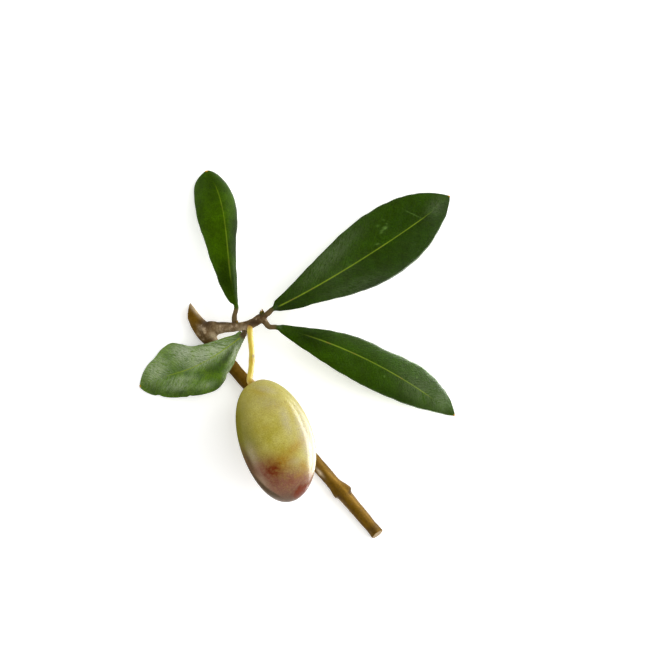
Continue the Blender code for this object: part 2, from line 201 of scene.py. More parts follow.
# Rings crowd towards the pit by this power
OLIVE_CROWDING = 1.25
# Size of the low dents in its skin, and of the finer ones, which are this share as high
DENT_SIZE = 9.0
FINE_DENT_SIZE = 2.2
FINE_DENT_SHARE = 0.08

# Leaf blades
BLADE_COLUMNS = 53
BLADE_RINGS = 230
PETIOLE_RINGS = 24
PETIOLE_HANDLE = 0.4
# How much thicker a petiole is where it leaves its cushion, and where that fades out
PETIOLE_FLARE = 0.16
PETIOLE_FLARE_FADES = (0.6, 2.2)
TIP_HALF_WIDTH = 0.22
DRY_POINT_LENGTH = 0.5
# Columns crowd towards the midrib by this power
COLUMN_CROWDING = 1.45
# Reach of the groove over the midrib, and of the keel under it
GROOVE_REACH = 0.5
KEEL_REACH = 0.45
# Share of the blade's thickness that is left at its margin
RIM_SHARE = 0.3
# Side veins: how far apart they are, how much they slant, and how far they wander
VEIN_SPACING = 4.2
VEIN_SLANT = 1.15
VEIN_WANDER = 2.4
# Share of the midrib's colour that they take on
VEIN_TINT = 0.01
# How the crinkles' noise is squeezed along the veins' slant and out from the midrib, and how far apart
# it is taken on the two sides
CRINKLE_SQUEEZE = (2.2, 0.7, 9.0)
# Fine creases: their size, and how their noise is squeezed along the midrib and out from it
CREASE_SIZE = 0.75
CREASE_SQUEEZE = (1.0, 0.35)
MARGIN_SWAY_LENGTH = 2.4
# The noise of one margin is taken this far from that of the other
MARGIN_APART = 5.5
# How much narrower the pale midrib gets towards the tip, and how long its fainter stretches are
RIB_TAPER = 0.55
RIB_FADING_LENGTH = 3.2


@dataclass
class Swelling:
    """A raised place on the stem: where, on which side of the page, how high and how far it reaches."""
    share: float
    side: int
    height: float
    rise: float
    fall: float
    spread: float


RIGHT, LEFT = 1, -1
SWELLINGS = (Swelling(0.095, RIGHT, 0.95, 1.9, 2.2, 0.8),
             Swelling(0.818, RIGHT, 0.80, 2.3, 0.60, 0.62),
             Swelling(0.809, LEFT, 0.50, 2.3, 0.45, 0.62))
SWELLING_LIFT = 0.35


@dataclass
class Half:
    """One half of a leaf: its outline beside the midrib and how it hangs."""
    width: float
    rise: float
    fall: float
    droop: float
    curl: float
    # Waves of its margin: share of the midrib, how far out, and breadth as a share
    waves: tuple = ()


@dataclass
class Mark:
    """A mark or stain on a surface, seen from above: its middle, its reach, its turn and how strong it is."""
    x: float
    y: float
    length: float
    breadth: float
    turn: float = 0.0
    strength: float = 1.0


@dataclass
class Leaf:
    """A leaf: midrib as four control points, petiole from the shoot, two halves and its finish."""
    name: str
    midrib: tuple
    cushion: tuple
    cushion_way: tuple
    petiole_radius: float
    left: Half
    right: Half
    # Colours of its older and younger tissue
    upper: str
    flush: str
    roughness: float
    # Height and size of its buckles, and height of its fine creases
    buckle: float
    buckle_size: float
    crease: float
    # Shares of the midrib between which its pale line shows
    rib_start: float
    rib_end: float
    # Where the brown of the petiole ends, from the foot of the blade
    brown_end: float
    # Depth of the crinkles in its skin, and how far its margin strays
    crinkle: float = 0.12
    ragged: float = 0.18
    specular: float = 0.2
    # How strongly the midrib shows, and how dark the right half is painted beside the left one, as painted
    # shade
    rib: float = 0.7
    right_shading_tone: float = 1.0
    # Where pale wax colour lies, partly real wax and partly painted sheen; where healed scratches are; and
    # where painted shade darkens the tissue
    bloom: tuple = ()
    marks: tuple = ()
    shade: tuple = ()
    # Share of the midrib over which the petiole flattens into the blade
    foot: float = 0.028


# Each leaf's shade marks and darker right half are painted shade, and its bloom marks are partly painted sheen
LEAVES = (
    Leaf("leaf_upper_left",
         midrib=((-15.3, 12.5, 7.4), (-18.4, 24.0, 9.4), (-16.3, 38.1, 7.0), (-23.0, 46.5, 2.2)),
         cushion=(-15.75, 7.3, 5.8), cushion_way=(0.0, 0.95, 0.31), petiole_radius=0.58,
         left=Half(5.75, 0.71, 0.25, 0.16, 0.10, waves=((0.66, 1.1, 0.25),)),
         right=Half(3.55, 1.2, 0.68, 0.25, 0.70, waves=((0.42, -1.0, 0.19),)),
         upper="#2e4600", flush="#385600", roughness=0.28, buckle=0.06, buckle_size=4.0, crease=0.010,
         rib_start=0.30, rib_end=0.90, brown_end=-0.9, specular=0.06, rib=0.36,
         shade=(Mark(-20.5, 43.5, 5.0, 4.0, 1.35, 0.35), Mark(-15.4, 30.0, 8.5, 1.7, 1.48, 0.7),
                Mark(-16.6, 18.5, 6.5, 5.0, 1.5, 0.62), Mark(-24.6, 35.0, 7.0, 1.3, 1.45, 0.25))),
    Leaf("leaf_upper_right",
         midrib=((-6.0, 11.4, 10.5), (9.3, 18.5, 7.0), (35.8, 36.4, 4.9), (38.6, 40.2, 0.39)),
         cushion=(-8.6, 9.3, 9.7), cushion_way=(0.78, 0.60, 0.18), petiole_radius=0.60,
         left=Half(9.0, 1.27, 0.77, 0.10, 0.10, waves=((0.02, 0.85, 0.25),)),
         right=Half(8.0, 1.43, 1.0, 0.10, 0.10, waves=((0.09, 0.7, 0.09),)),
         upper="#223600", flush="#264000", roughness=0.28, buckle=0.07, buckle_size=4.5, crease=0.012,
         rib_start=0.05, rib_end=0.90, brown_end=-0.2, specular=0.06, rib=0.62, right_shading_tone=0.74,
         bloom=(Mark(8.2, 24.9, 10.0, 2.6, 0.79, 0.07), Mark(16.0, 17.5, 9.5, 2.2, 0.3, 0.04),
                Mark(10.0, 20.0, 7.0, 4.0, 0.6, 0.02), Mark(35.2, 37.5, 3.0, 1.8, 0.9, 0.055)),
         shade=(Mark(27.0, 34.5, 6.5, 2.6, 0.65, 0.25), Mark(-2.0, 13.0, 4.5, 3.5, 0.5, 0.35),
                Mark(19.5, 17.6, 9.0, 1.5, 0.42, 0.3)),
         marks=(Mark(22.1, 31.9, 0.5, 0.28, 0.6), Mark(21.3, 31.0, 0.6, 0.2, 0.9, 0.7),
                Mark(21.6, 34.0, 0.3, 0.2, 0.0, 0.35), Mark(20.2, 32.5, 0.35, 0.2, 0.3, 0.5),
                Mark(20.1, 27.8, 0.45, 0.18, 0.2, 0.5), Mark(22.6, 33.0, 0.7, 0.12, 1.2, 0.35),
                Mark(29.3, 35.4, 2.2, 0.10, -0.45, 0.5))),
    Leaf("leaf_lower_right",
         midrib=((-5.0, 6.9, 9.9), (12.1, 3.0, 8.4), (28.1, -5.9, 5.2), (39.9, -15.5, 0.48)),
         cushion=(-8.6, 9.0, 9.5), cushion_way=(0.62, -0.78, 0.05), petiole_radius=0.62,
         left=Half(5.65, 1.48, 0.84, 0.15, 0.22, waves=((0.05, 0.3, 0.25), (0.55, -1.15, 0.13))),
         right=Half(6.2, 0.98, 0.88, 0.10, 0.06),
         upper="#263c00", flush="#2b4600", roughness=0.28, buckle=0.07, buckle_size=4.5, crease=0.012,
         rib_start=0.26, rib_end=0.88, brown_end=-0.3, specular=0.09, rib=0.55,
         bloom=(Mark(31.0, -9.0, 6.0, 3.0, -0.6, 0.075), Mark(36.0, -12.0, 2.8, 2.2, -0.9, 0.11)),
         shade=(Mark(3.2, 4.6, 5.5, 3.2, -0.15, 0.55), Mark(25.0, -10.6, 9.0, 1.4, -0.5, 0.35)),
         marks=(Mark(21.9, -5.4, 0.2, 0.14), Mark(30.2, -5.7, 0.22, 0.14), Mark(26.4, -3.4, 0.12, 0.12))),
    Leaf("leaf_lower_left",
         midrib=((-13.25, 5.05, 8.05), (-27.2, -5.9, 8.2), (-28.6, -3.0, 2.6), (-40.1, -8.1, 0.43)),
         cushion=(-12.7, 7.2, 7.3), cushion_way=(-0.25, -0.92, 0.30), petiole_radius=0.60,
         left=Half(5.9, 1.08, 0.61, 0.10, 0.03,
                   waves=((0.38, 2.45, 0.21), (0.285, -0.35, 0.016), (0.605, -0.25, 0.015),
                          (0.875, -0.4, 0.025))),
         right=Half(7.8, 1.28, 0.88, 0.10, 0.06,
                    waves=((0.0, 0.75, 0.05), (0.24, -0.9, 0.10), (0.42, -2.05, 0.13), (0.81, -0.65, 0.07))),
         upper="#466a04", flush="#608402", roughness=0.24, buckle=0.22, buckle_size=3.2, crease=0.045,
         rib_start=0.05, rib_end=0.80, brown_end=0.9, crinkle=0.7, ragged=0.25, specular=0.22, rib=1.0,
         foot=0.008,
         bloom=(Mark(-22.5, 0.6, 7.5, 2.2, 0.33, 0.9), Mark(-28.4, 0.6, 3.6, 2.8, 0.1, 0.8),
                Mark(-24.0, -1.6, 4.5, 1.6, 0.35, 0.65), Mark(-35.5, -3.9, 4.0, 2.8, 0.9, 0.6),
                Mark(-29.5, -6.4, 4.5, 1.2, 0.2, 0.45), Mark(-30.0, -8.0, 4.5, 1.2, 0.1, 0.4),
                Mark(-15.5, 0.6, 3.6, 0.7, 1.15, 0.95), Mark(-17.2, -4.4, 2.8, 0.9, 1.1, 0.6),
                Mark(-23.0, -7.6, 2.8, 1.0, 0.2, 0.35)),
         shade=(Mark(-37.0, -8.6, 4.0, 1.8, -0.35, 0.5), Mark(-29.0, -9.8, 6.5, 1.7, 0.0, 0.5),
                Mark(-17.6, -0.4, 4.2, 1.0, 0.95, 0.7), Mark(-21.5, -3.6, 3.4, 1.6, 0.35, 0.45),
                Mark(-19.5, -8.0, 4.0, 1.5, 0.6, 0.4), Mark(-25.0, 3.2, 7.0, 0.8, -0.1, 0.3),
                Mark(-29.0, -3.8, 5.0, 1.3, 0.3, 0.14))),
)

# Stage, in metres. Softboxes: name, size, azimuth and zenith angle in degrees, distance, and whether
# reflections show them. Azimuth 0 is on the right of the page, and 90 at its top.
SOFTBOXES = (("key", (1.00, 0.70), 10, 61, 0.85, True),
             ("top", (0.80, 0.80), 20, 28, 0.80, False),
             ("fill", (0.60, 0.40), 200, 62, 0.75, False))
LIT_PLACE = (0.0, 0.0, 0.005)
# Low strips beside the olive: name, size and middle
STRIPS = (("near", (0.018, 0.073), (0.0190, -0.0045, 0.0010)),
          ("middle", (0.034, 0.074), (0.0450, -0.003, 0.0010)),
          ("far", (0.056, 0.076), (0.0900, -0.006, 0.0010)))
# Two opposite corners of the black flag, and its height
FLAG_CORNERS = ((-0.060, -0.060), (-0.016, -0.003))
FLAG_HEIGHT = 0.001
FLOOR_REACH = 3.0
# The floor lies a hair below the branch, so that the two don't share a plane
FLOOR_HEIGHT = -0.00002
# The room's light: its strength, and its grey at each share of the height from the horizon to overhead
ROOM_BRIGHTNESS = 1.5
ROOM_GREYS = ((0.0, 1.0), (0.22, 0.85), (0.5, 0.3), (0.75, 0.025), (1.0, 0.015))
CAMERA_PLACE = (0.0070, 0.0061, 0.459)


def to_linear(hex_colour):
    """Linear RGBA from an sRGB hex colour."""
    channels = [int(hex_colour[i:i + 2], 16) / 255 for i in (1, 3, 5)]
    linear = [c / 12.92 if c <= 0.04045 else ((c + 0.055) / 1.055) ** 2.4 for c in channels]
    return (*linear, 1.0)


def colour_property(name, description, hex_colour):
    return FloatVectorProperty(name=name, description=description, subtype="COLOR", size=4,
                               min=0.0, max=1.0, default=to_linear(hex_colour))


def length_property(name, description, millimetres):
    return FloatProperty(name=name, description=description, default=millimetres * MM,
                         min=0.0, unit="LENGTH", precision=5)


def power_property(name, description, watts):
    return FloatProperty(name=name, description=description, default=watts, min=0.0, unit="POWER")


class LeafLook(bpy.types.PropertyGroup):
    """Sizes and colours of the leaves."""
    thickness: length_property("Blade thickness", "Thickness of a blade away from its midrib", 0.40)
    groove: length_property("Midrib groove", "Depth of the groove over the midrib", 0.07)
    keel: length_property("Midrib keel", "How far the midrib stands out of the underside", 0.26)
    rib_half_width: length_property("Midrib half width", "Half the pale midrib's width at its foot", 0.15)
    vein_height: length_property("Side vein relief", "How deep the side veins lie in the upper side", 0.006)
    rib: colour_property("Midrib", "Yellow-green of the midrib", "#8ca428")
    rib_node: colour_property("Midrib knots", "Tan of the places where side veins join the midrib", "#989038")
    underside: colour_property("Underside", "Silvery green of the felted underside", "#8d9a78")
    felt: colour_property("Felt gaps", "Green between the scales of the felt", "#5f6f48")
    petiole: colour_property("Petiole", "Brown of the corky petiole", "#5e4e32")
    tip: colour_property("Tip", "Dry point of the blade", "#c08a22")
    mark: colour_property("Marks", "Pale healed scratches", "#5f7f38")
    # The wax colour is partly real wax and partly painted sheen, and the crest wax is painted glints
    wax_and_sheen: colour_property("Wax", "Thick bloom of wax", "#b0bd94")
    crest_glint: colour_property("Crest wax", "Wax on the crests of the crinkles", "#cfd8b8")


class WoodLook(bpy.types.PropertyGroup):
    """Sizes and colours of the stem, its shoot and its buds."""
    voxel: length_property("Skin cell", "Size of the cells that the stem's skin is made of", 0.15)
    grain: length_property("Grain relief", "Height of the long ridges in the bark", 0.05)
    lenticel: length_property("Lenticel height", "How far the corky pores stand out", 0.07)
    lenticels: IntProperty(name="Lenticels", description="Number of corky pores", default=170, min=0)
    seed: IntProperty(name="Seed", description="Seed of the pores' places", default=11)
    ochre: colour_property("Ochre bark", "Smooth bark of the lower stem", "#573d05")
    ochre_light: colour_property("Light ochre bark", "Lighter patches of the smooth bark", "#6b4e0e")
    brown: colour_property("Brown bark", "Darker patches on the side shoot", "#57401f")
    grey: colour_property("Grey bark", "Weathered bark of the side shoot", "#94805e")
    pale: colour_property("Pale bark", "Outer bark that has gone grey", "#cdb998")
    # Dark bark lies in streaks and round the scars, and as painted shade in the fold below the shoot, in the
    # axils and along the right edge of the lower stem
    dark: colour_property("Dark bark", "Bark in folds and round the leaf scars", "#3e2d1a")
    # Pale streaks above the right flank: partly worn bark, partly painted light on the side that faces the
    # light
    worn: colour_property("Worn bark", "Bark worn pale above the right flank", "#a07a2c")
    cork: colour_property("Lenticels", "Corky pores", "#b09c80")
    wood: colour_property("Cut wood", "Freshly cut wood", "#a8916a")
    fibre: colour_property("Wood fibres", "Darker fibres in the cut wood", "#7d6444")


class FruitLook(bpy.types.PropertyGroup):
    """Sizes and colours of the olive and its stalk."""
    dimple: length_property("Skin relief", "Height of the low dents in the olive's skin", 0.05)
    # The green is laid on the left flank as painted shade, over skin that is partly greener there
    green: colour_property("Green skin", "Yellow-green skin on the left flank", "#6b6616")
    olive: colour_property("Unripe skin", "Yellow-green skin above", "#9b9138")
    straw: colour_property("Pale skin", "Skin that pales before it turns", "#aba152")
    # The bloom colour also paints a highlight down the olive's right rim
    bloom: colour_property("Bloom", "Skin under a thicker bloom of wax", "#a09676")
    amber_light: colour_property("Straw skin", "Straw-yellow patches near the stalk", "#9c8a26")
    amber: colour_property("Amber skin", "Skin that turns first", "#91701f")
    blush: colour_property("Blush", "Dusky pink of the ripening end", "#7c5340")
    rust: colour_property("Rust", "Red-brown ripe patches", "#66280a")
    dusk: colour_property("Dusk", "Grey-brown of the far end", "#5c4a3a")
    # The flank's dark brown is painted shade and a painted dark reflection, over skin that is partly ripe and
    # brown
    flank: colour_property("Flank", "Dark brown of the lower left flank", "#4c3a22")
    stalk: colour_property("Stalk", "Yellow of the stalk", "#c4ae38")
    stalk_shade: colour_property("Stalk joints", "Amber of the stalk's joints", "#8e5c16")
    stalk_scar: colour_property("Stalk scar", "Dark scar of a fallen flower", "#4a2c10")


class StageLook(bpy.types.PropertyGroup):
    """The floor, the lights and the camera."""
    floor: colour_property("Floor", "White acrylic sheet, lit from below", "#f2f2f0")
    key: power_property("Key light", "Softbox low on the right, in watts", 6.0)
    top: power_property("Top light", "Softbox high on the right, in watts", 4.2)
    fill: power_property("Fill light", "Softbox low on the left, in watts", 1.6)
    near: power_property("Near strip", "Low strip beside the olive, in watts", 0.033)
    middle: power_property("Middle strip", "Low strip behind the near one, in watts", 0.25)
    far: power_property("Far strip", "Low strip behind the middle one, in watts", 0.36)
    glow: FloatProperty(name="Floor glow", description="Light that comes up through the floor", default=0.45,
                        min=0.0)
    lens: FloatProperty(name="Lens", description="Focal length", default=98.25 * MM, unit="LENGTH",
                        precision=5)


def unit(vector):
    """The same direction with length 1."""
    vector = np.asarray(vector, float)
    return vector / np.linalg.norm(vector)


def unit_each(vectors):
    """Each vector of an array with length 1."""
    return vectors / np.linalg.norm(vectors, axis=-1)[..., None]


def steps(pairs, x):
    """A smooth value at x between pairs of place and value."""
    places = np.array([pair[0] for pair in pairs])
    values = np.array([pair[1] for pair in pairs])
    i = np.clip(np.searchsorted(places, x) - 1, 0, len(places) - 2)
    t = np.clip((x - places[i]) / (places[i + 1] - places[i]), 0, 1)
    t = t * t * (3 - 2 * t)
    return values[i] * (1 - t) + values[i + 1] * t


def fade(x, start, end):
    """Rises smoothly from 0 at start to 1 at end."""
    t = np.clip((np.asarray(x, float) - start) / (end - start), 0, 1)
    return t * t * (3 - 2 * t)


def through(points, samples=40):
    """Dense points on a smooth curve through the given ones."""
    points = np.asarray(points, float)
    padded = np.vstack([2 * points[0] - points[1], points, 2 * points[-1] - points[-2]])
    t = np.linspace(0, 1, samples, endpoint=False)[:, None]
    dense = []
    for p0, p1, p2, p3 in zip(padded, padded[1:], padded[2:], padded[3:]):
        dense.append(0.5 * (2 * p1 + (p2 - p0) * t + (2 * p0 - 5 * p1 + 4 * p2 - p3) * t ** 2
                            + (3 * p1 - p0 - 3 * p2 + p3) * t ** 3))
    dense.append(points[-1:])
    return np.vstack(dense)


def bezier(points, samples=500):
    """Dense points on the cubic curve of four control points."""
    p0, p1, p2, p3 = np.asarray(points, float)
    t = np.linspace(0, 1, samples)[:, None]
    return (1 - t) ** 3 * p0 + 3 * (1 - t) ** 2 * t * p1 + 3 * (1 - t) * t ** 2 * p2 + t ** 3 * p3


def line_length(line):
    return np.linalg.norm(np.diff(line, axis=0), axis=1).sum()


def at_shares(line, shares):
    """Points and tangents at shares of a dense line's length."""
    lengths = np.r_[0, np.cumsum(np.linalg.norm(np.diff(line, axis=0), axis=1))]
    places = np.asarray(shares) * lengths[-1]
    points = np.column_stack([np.interp(places, lengths, axis) for axis in line.T])
    slopes = np.gradient(line, lengths, axis=0)
    tangents = np.column_stack([np.interp(places, lengths, axis) for axis in slopes.T])
    return points, unit_each(tangents)


def side_and_up(tangent):
    """The level direction to the right of a tangent, and the one square to both."""
    side = unit(np.cross(tangent, (0, 0, 1)))
    return side, np.cross(side, tangent)


def round_section(radius, tangent, angles):
    """Points round a line, about its centre; angle 0 is on the right of the line and 90 degrees is above."""
    side, up = side_and_up(tangent)
    return np.outer(radius * np.cos(angles), side) + np.outer(radius * np.sin(angles), up)


def full_turn(sides):
    """Angles of the sides round one section."""
    return np.arange(sides) * 2 * math.pi / sides


def skin_rings(rings, first=0):
    """Vertices and faces over a stack of rings, with a flat cap at each end."""
    count, sides = rings.shape[:2]
    faces = [tuple(first + k for k in range(sides)),
             tuple(first + (count - 1) * sides + k for k in reversed(range(sides)))]
    for i in range(count - 1):
        for k in range(sides):
            right = (k + 1) % sides
            faces.append((first + i * sides + k, first + (i + 1) * sides + k,
                          first + (i + 1) * sides + right, first + i * sides + right))
    return rings.reshape(-1, 3), faces


def tube_rings(points, tangents, radii, sides):
    """Round sections along a line."""
    angles = full_turn(sides)
    return np.array([point + round_section(radius, tangent, angles)
                     for point, tangent, radius in zip(points, tangents, radii)])


def noise_at(places, size, seed=0):
    """Smooth noise from -1 to 1 at places in millimetres, with features of about one size.

    Patterns that meet on one piece have different seeds, so that they don't repeat each other."""
    shift = Vector((17.3 * seed, -9.1 * seed, 5.7 * seed))
    return np.array([noise.noise(Vector(place) / size + shift) for place in places])


def add_piece(name, vertices, faces, materials, nodes, attributes):
    """Adds a smooth piece from millimetres, with its materials and values per point, and lets it ride."""
    mesh = bpy.data.meshes.new(name)
    inside = np.clip(np.asarray(vertices) * MM, LOWEST, HIGHEST)
    mesh.from_pydata([tuple(v) for v in inside], [], faces)
    mesh.validate()
    mesh.shade_smooth()
    for material in materials:
        mesh.materials.append(material)
    for label, values in attributes.items():
        attribute = mesh.attributes.new(label, "FLOAT", "POINT")
        attribute.data.foreach_set("value", np.asarray(values, np.float32))
    piece = bpy.data.objects.new(name, mesh)
    bpy.context.scene.collection.objects.link(piece)
    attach(piece, "root")
    if nodes:
        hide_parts(*nodes)
    return piece


def add_node(tree, kind, inputs=None, stops=None, **settings):
    """Adds a node with its settings; an input is a value or the socket that feeds it."""
    node = tree.nodes.new(kind)
    for name, value in settings.items():
        setattr(node, name, value)
    for key, value in (inputs or {}).items():
        if isinstance(value, bpy.types.NodeSocket):
            tree.links.new(value, node.inputs[key])
        else:
            node.inputs[key].default_value = value
    if stops:
        ramp = node.color_ramp.elements
        while len(ramp) < len(stops):
            ramp.new(1.0)
        for element, (place, tint) in zip(ramp, stops):
            element.position = place
            element.color = tint
    return node


def new_material(name):
    """A material with only its Principled shader and output: returns it, its tree and the shader."""
    material = bpy.data.materials.new(name)
    material.use_nodes = True
    return material, material.node_tree, material.node_tree.nodes["Principled BSDF"]


def per_metre(millimetres):
    """The scale of a pattern whose features have this size."""
    return 1000 / millimetres


def grey(value):
    """A linear grey as RGBA."""
    return (value, value, value, 1.0)


# Leaves


def half_widths(half, shares):
    """Distance from the midrib to one margin, by a curve that rises to its peak and falls."""
    peak = half.rise / (half.rise + half.fall)
    shares = np.clip(shares, 1e-6, 1 - 1e-6)
    widths = half.width * (shares / peak) ** half.rise * ((1 - shares) / (1 - peak)) ** half.fall
    for place, amount, breadth in half.waves:
        widths = widths + amount * np.exp(-((shares - place) / breadth) ** 2)
    return widths


def petiole_line(leaf, blade):
    """The petiole's curve, from inside its cushion to the foot of the blade."""
    way = unit(leaf.cushion_way)
    start = np.asarray(leaf.cushion) + (CUSHION_LENGTH + GAP) * way
    handle = PETIOLE_HANDLE * np.linalg.norm(blade[0] - start)
    line = bezier((start, start + handle * way, blade[0] - handle * unit(blade[1] - blade[0]), blade[0]))
    return np.vstack([start - (GAP + JOIN) * way, line])


def margin_sway(leaf, along, shares, row):
    """How far one margin strays from its smooth curve: a little everywhere but at the foot and the tip."""
    places = np.column_stack([along / MARGIN_SWAY_LENGTH, 0 * along + MARGIN_APART * row, 0 * along])
    sway = leaf.ragged * noise_at(places, 1.0, len(leaf.name))
    return sway * fade(shares, 0.04, 0.12) * (1 - fade(shares, 0.93, 1))


def blade_surfaces(leaf, look, points, tangents, shares, along, across_shares):
    """Upper and lower face of a blade as grids, and each point's distance from the midrib."""
    rights = unit_each(np.cross(tangents, (0, 0, 1)))
    narrow = leaf.petiole_radius * (1 - shares) ** 3
    halves = [half_widths(half, shares) + narrow + margin_sway(leaf, along, shares, row)
              for row, half in enumerate((leaf.left, leaf.right))]
    u = across_shares[None, :]
    on_right = u > 0
    width = np.maximum(np.where(on_right, halves[1][:, None], halves[0][:, None]), TIP_HALF_WIDTH)
    droop = np.where(on_right, leaf.right.droop, leaf.left.droop)
    curl = np.where(on_right, leaf.right.curl, leaf.left.curl)
    drop = (droop + curl * u * u) * np.abs(u) * width
    across = u * width
    middle = points[:, None, :] + rights[:, None, :] * across[..., None]
    middle[..., 2] -= drop
    # The groove and the keel rise beyond the foot and fade out towards the tip
    rib = fade(shares, 0, 0.06) * (1 - fade(shares, 0.80, 1.0))
    relief = -look.groove / MM * np.exp(-(across / GROOVE_REACH) ** 2) * rib[:, None]
    relief += blade_relief(leaf, look, middle, along, across, u) * fade(shares, 0.02, 0.12)[:, None]
    middle[..., 2] += relief
    normals = unit_each(np.cross(np.gradient(middle, axis=1), np.gradient(middle, axis=0)))
    rim = RIM_SHARE + (1 - RIM_SHARE) * np.sqrt(1 - np.abs(u) ** 6)
    half_thick = look.thickness / MM / 2 * rim * np.ones_like(across)
    keel = look.keel / MM * np.exp(-(across / KEEL_REACH) ** 2) * rib[:, None]
    upper = middle + normals * half_thick[..., None]
    lower = middle - normals * (half_thick + keel)[..., None]
    return upper, lower, across


def blade_relief(leaf, look, middle, along, across, u):
    """How far the blade's sheet rises and falls: broad buckles, and side veins sunk between low pillows."""
    flat = middle.reshape(-1, 3) * (1, 1, 0)
    seed = len(leaf.name) + leaf.name.count("r")
    # Buckles of half the size, and less than half the height, ride on the broad ones
    broad = noise_at(flat, leaf.buckle_size, seed)
    buckles = leaf.buckle * (broad + 0.4 * noise_at(flat, leaf.buckle_size * 0.45, seed + 3))
    # Fine creases, as in leather, drawn out along the side veins
    slant = np.stack([along[:, None] - VEIN_SLANT * np.abs(across), across + 0 * along[:, None]], axis=-1)
    drawn = np.concatenate([slant * CREASE_SQUEEZE, np.zeros_like(across)[..., None]], axis=-1)
    buckles += leaf.crease * noise_at(drawn.reshape(-1, 3), CREASE_SIZE, seed + 5)
    buckles = buckles.reshape(across.shape)
    margin = 1 - fade(np.abs(u), 0.75, 1.0)
    # The veins leave the midrib in turn on each side, and the buckles shift them a little
    place = slant[..., 0] + (across > 0) * VEIN_SPACING / 2 + 0.9 * broad.reshape(across.shape)
    pillows = -np.cos(2 * math.pi * place / VEIN_SPACING)
    veins = look.vein_height / MM * pillows * margin * np.minimum(1, np.abs(across))
    return buckles * (0.35 + 0.65 * margin) + veins


def leaf_grid(leaf, look):
    """Rings round a leaf from the petiole's flat end to its tip, with values per point."""
    v = np.linspace(-1, 1, BLADE_COLUMNS)
    across_shares = np.sign(v) * np.abs(v) ** COLUMN_CROWDING
    angles = math.pi / 2 - v * (math.pi / 2) * (1 - 1 / BLADE_COLUMNS)
    angles = np.concatenate([angles, -angles[::-1]])
    blade = bezier(leaf.midrib)
    petiole = petiole_line(leaf, blade)
    shares = (1 - np.cos(np.linspace(0, math.pi, BLADE_RINGS))) / 2
    points, tangents = at_shares(blade, shares)
    along = shares * line_length(blade)
    upper, lower, across = blade_surfaces(leaf, look, points, tangents, shares, along, across_shares)
    sheet = np.concatenate([upper, lower[:, ::-1]], axis=1)
    flat = steps(((0, 0), (leaf.foot, 1)), shares)[:, None, None]
    tube = np.array([point + round_section(leaf.petiole_radius, tangent, angles)
                     for point, tangent in zip(points, tangents)])
    blade_rings = tube * (1 - flat) + sheet * flat
    petiole_shares = np.linspace(0, 1, PETIOLE_RINGS, endpoint=False)
    places, ways = at_shares(petiole, petiole_shares)
    length = line_length(petiole)
    flare = PETIOLE_FLARE * (1 - fade(petiole_shares * length, *PETIOLE_FLARE_FADES))
    girths = leaf.petiole_radius * (1 + flare)
    petiole_rings = np.array([place + round_section(girth, way, angles)
                              for place, way, girth in zip(places, ways, girths)])
    rings = np.concatenate([petiole_rings, blade_rings])
    around = len(angles)
    back = (petiole_shares - 1) * length
    across_petiole = np.repeat(leaf.petiole_radius * np.cos(angles)[None, :], PETIOLE_RINGS, axis=0)
    across_blade = np.concatenate([across, across[:, ::-1]], axis=1)
    rim = np.abs(np.concatenate([across_shares, across_shares[::-1]]))
    under = np.repeat((0.0, 1.0), BLADE_COLUMNS)
    return rings, {
        "along": np.repeat(np.concatenate([back, along])[:, None], around, axis=1),
        "across": np.concatenate([across_petiole, across_blade]),
        "rim": np.repeat(rim[None, :], len(rings), axis=0),
        "under": np.repeat(under[None, :], len(rings), axis=0),
        "share": np.repeat(np.concatenate([np.zeros(PETIOLE_RINGS), shares])[:, None], around, axis=1),
        "point": np.exp(-(np.linalg.norm(rings - points[-1], axis=2) / DRY_POINT_LENGTH) ** 2)}


def skin_leaf(rings):
    """Faces over a leaf, with a flat cap at each end."""
    count, around = rings.shape[:2]
    faces = []
    for i in range(count - 1):
        for k in range(around):
            right = (k + 1) % around
            faces.append((i * around + k, (i + 1) * around + k, (i + 1) * around + right, i * around + right))
    for first, way in ((0, 1), ((count - 1) * around, -1)):
        for k in range(around // 2 - 1):
            quad = (first + k, first + k + 1, first + around - 2 - k, first + around - 1 - k)
            faces.append(quad[::way])
    return faces


def stain(places, marks):
    """How strongly a list of marks, seen from above, covers each place."""
    cover = np.zeros(len(places))
    for mark in marks:
        dx, dy = places[:, 0] - mark.x, places[:, 1] - mark.y
        long = dx * math.cos(mark.turn) + dy * math.sin(mark.turn)
        wide = dy * math.cos(mark.turn) - dx * math.sin(mark.turn)
        spot = mark.strength * np.exp(-(long / mark.length) ** 2 - (wide / mark.breadth) ** 2)
        cover = np.maximum(cover, spot)
    return cover


def leaf_tissue(leaf, tree, tone, mottle, cells):
    """Green of the upper side: patches of older and younger tissue, speckled by its cells, and darkened by
    painted shade.
    """
    tissue = add_node(tree, "ShaderNodeValToRGB", {"Fac": mottle},
                      stops=((0.34, to_linear(leaf.upper)), (0.68, to_linear(leaf.flush))))
    speckle = add_node(tree, "ShaderNodeMapRange", {"Value": cells, "From Min": 0.3, "From Max": 0.7,
                                                    "To Min": 0.72, "To Max": 1.3})
    shaded_speckle = add_node(tree, "ShaderNodeMath", {0: speckle.outputs[0], 1: tone}, operation="MULTIPLY")
    return add_node(tree, "ShaderNodeVectorMath", {0: tissue.outputs["Color"], "Scale": shaded_speckle.outputs[0]},
                    operation="SCALE").outputs[0]


def vein_places(tree, across, along):
    """Distance from the midrib, which side of it, and the place where a slanting vein would leave it."""
    from_rib = add_node(tree, "ShaderNodeMath", {0: across}, operation="ABSOLUTE").outputs[0]
    on_right = add_node(tree, "ShaderNodeMath", {0: across, 1: 0.0}, operation="GREATER_THAN").outputs[0]
    slanted = add_node(tree, "ShaderNodeMath", {0: from_rib, 1: -VEIN_SLANT, 2: along},
                       operation="MULTIPLY_ADD").outputs[0]
    return from_rib, on_right, slanted


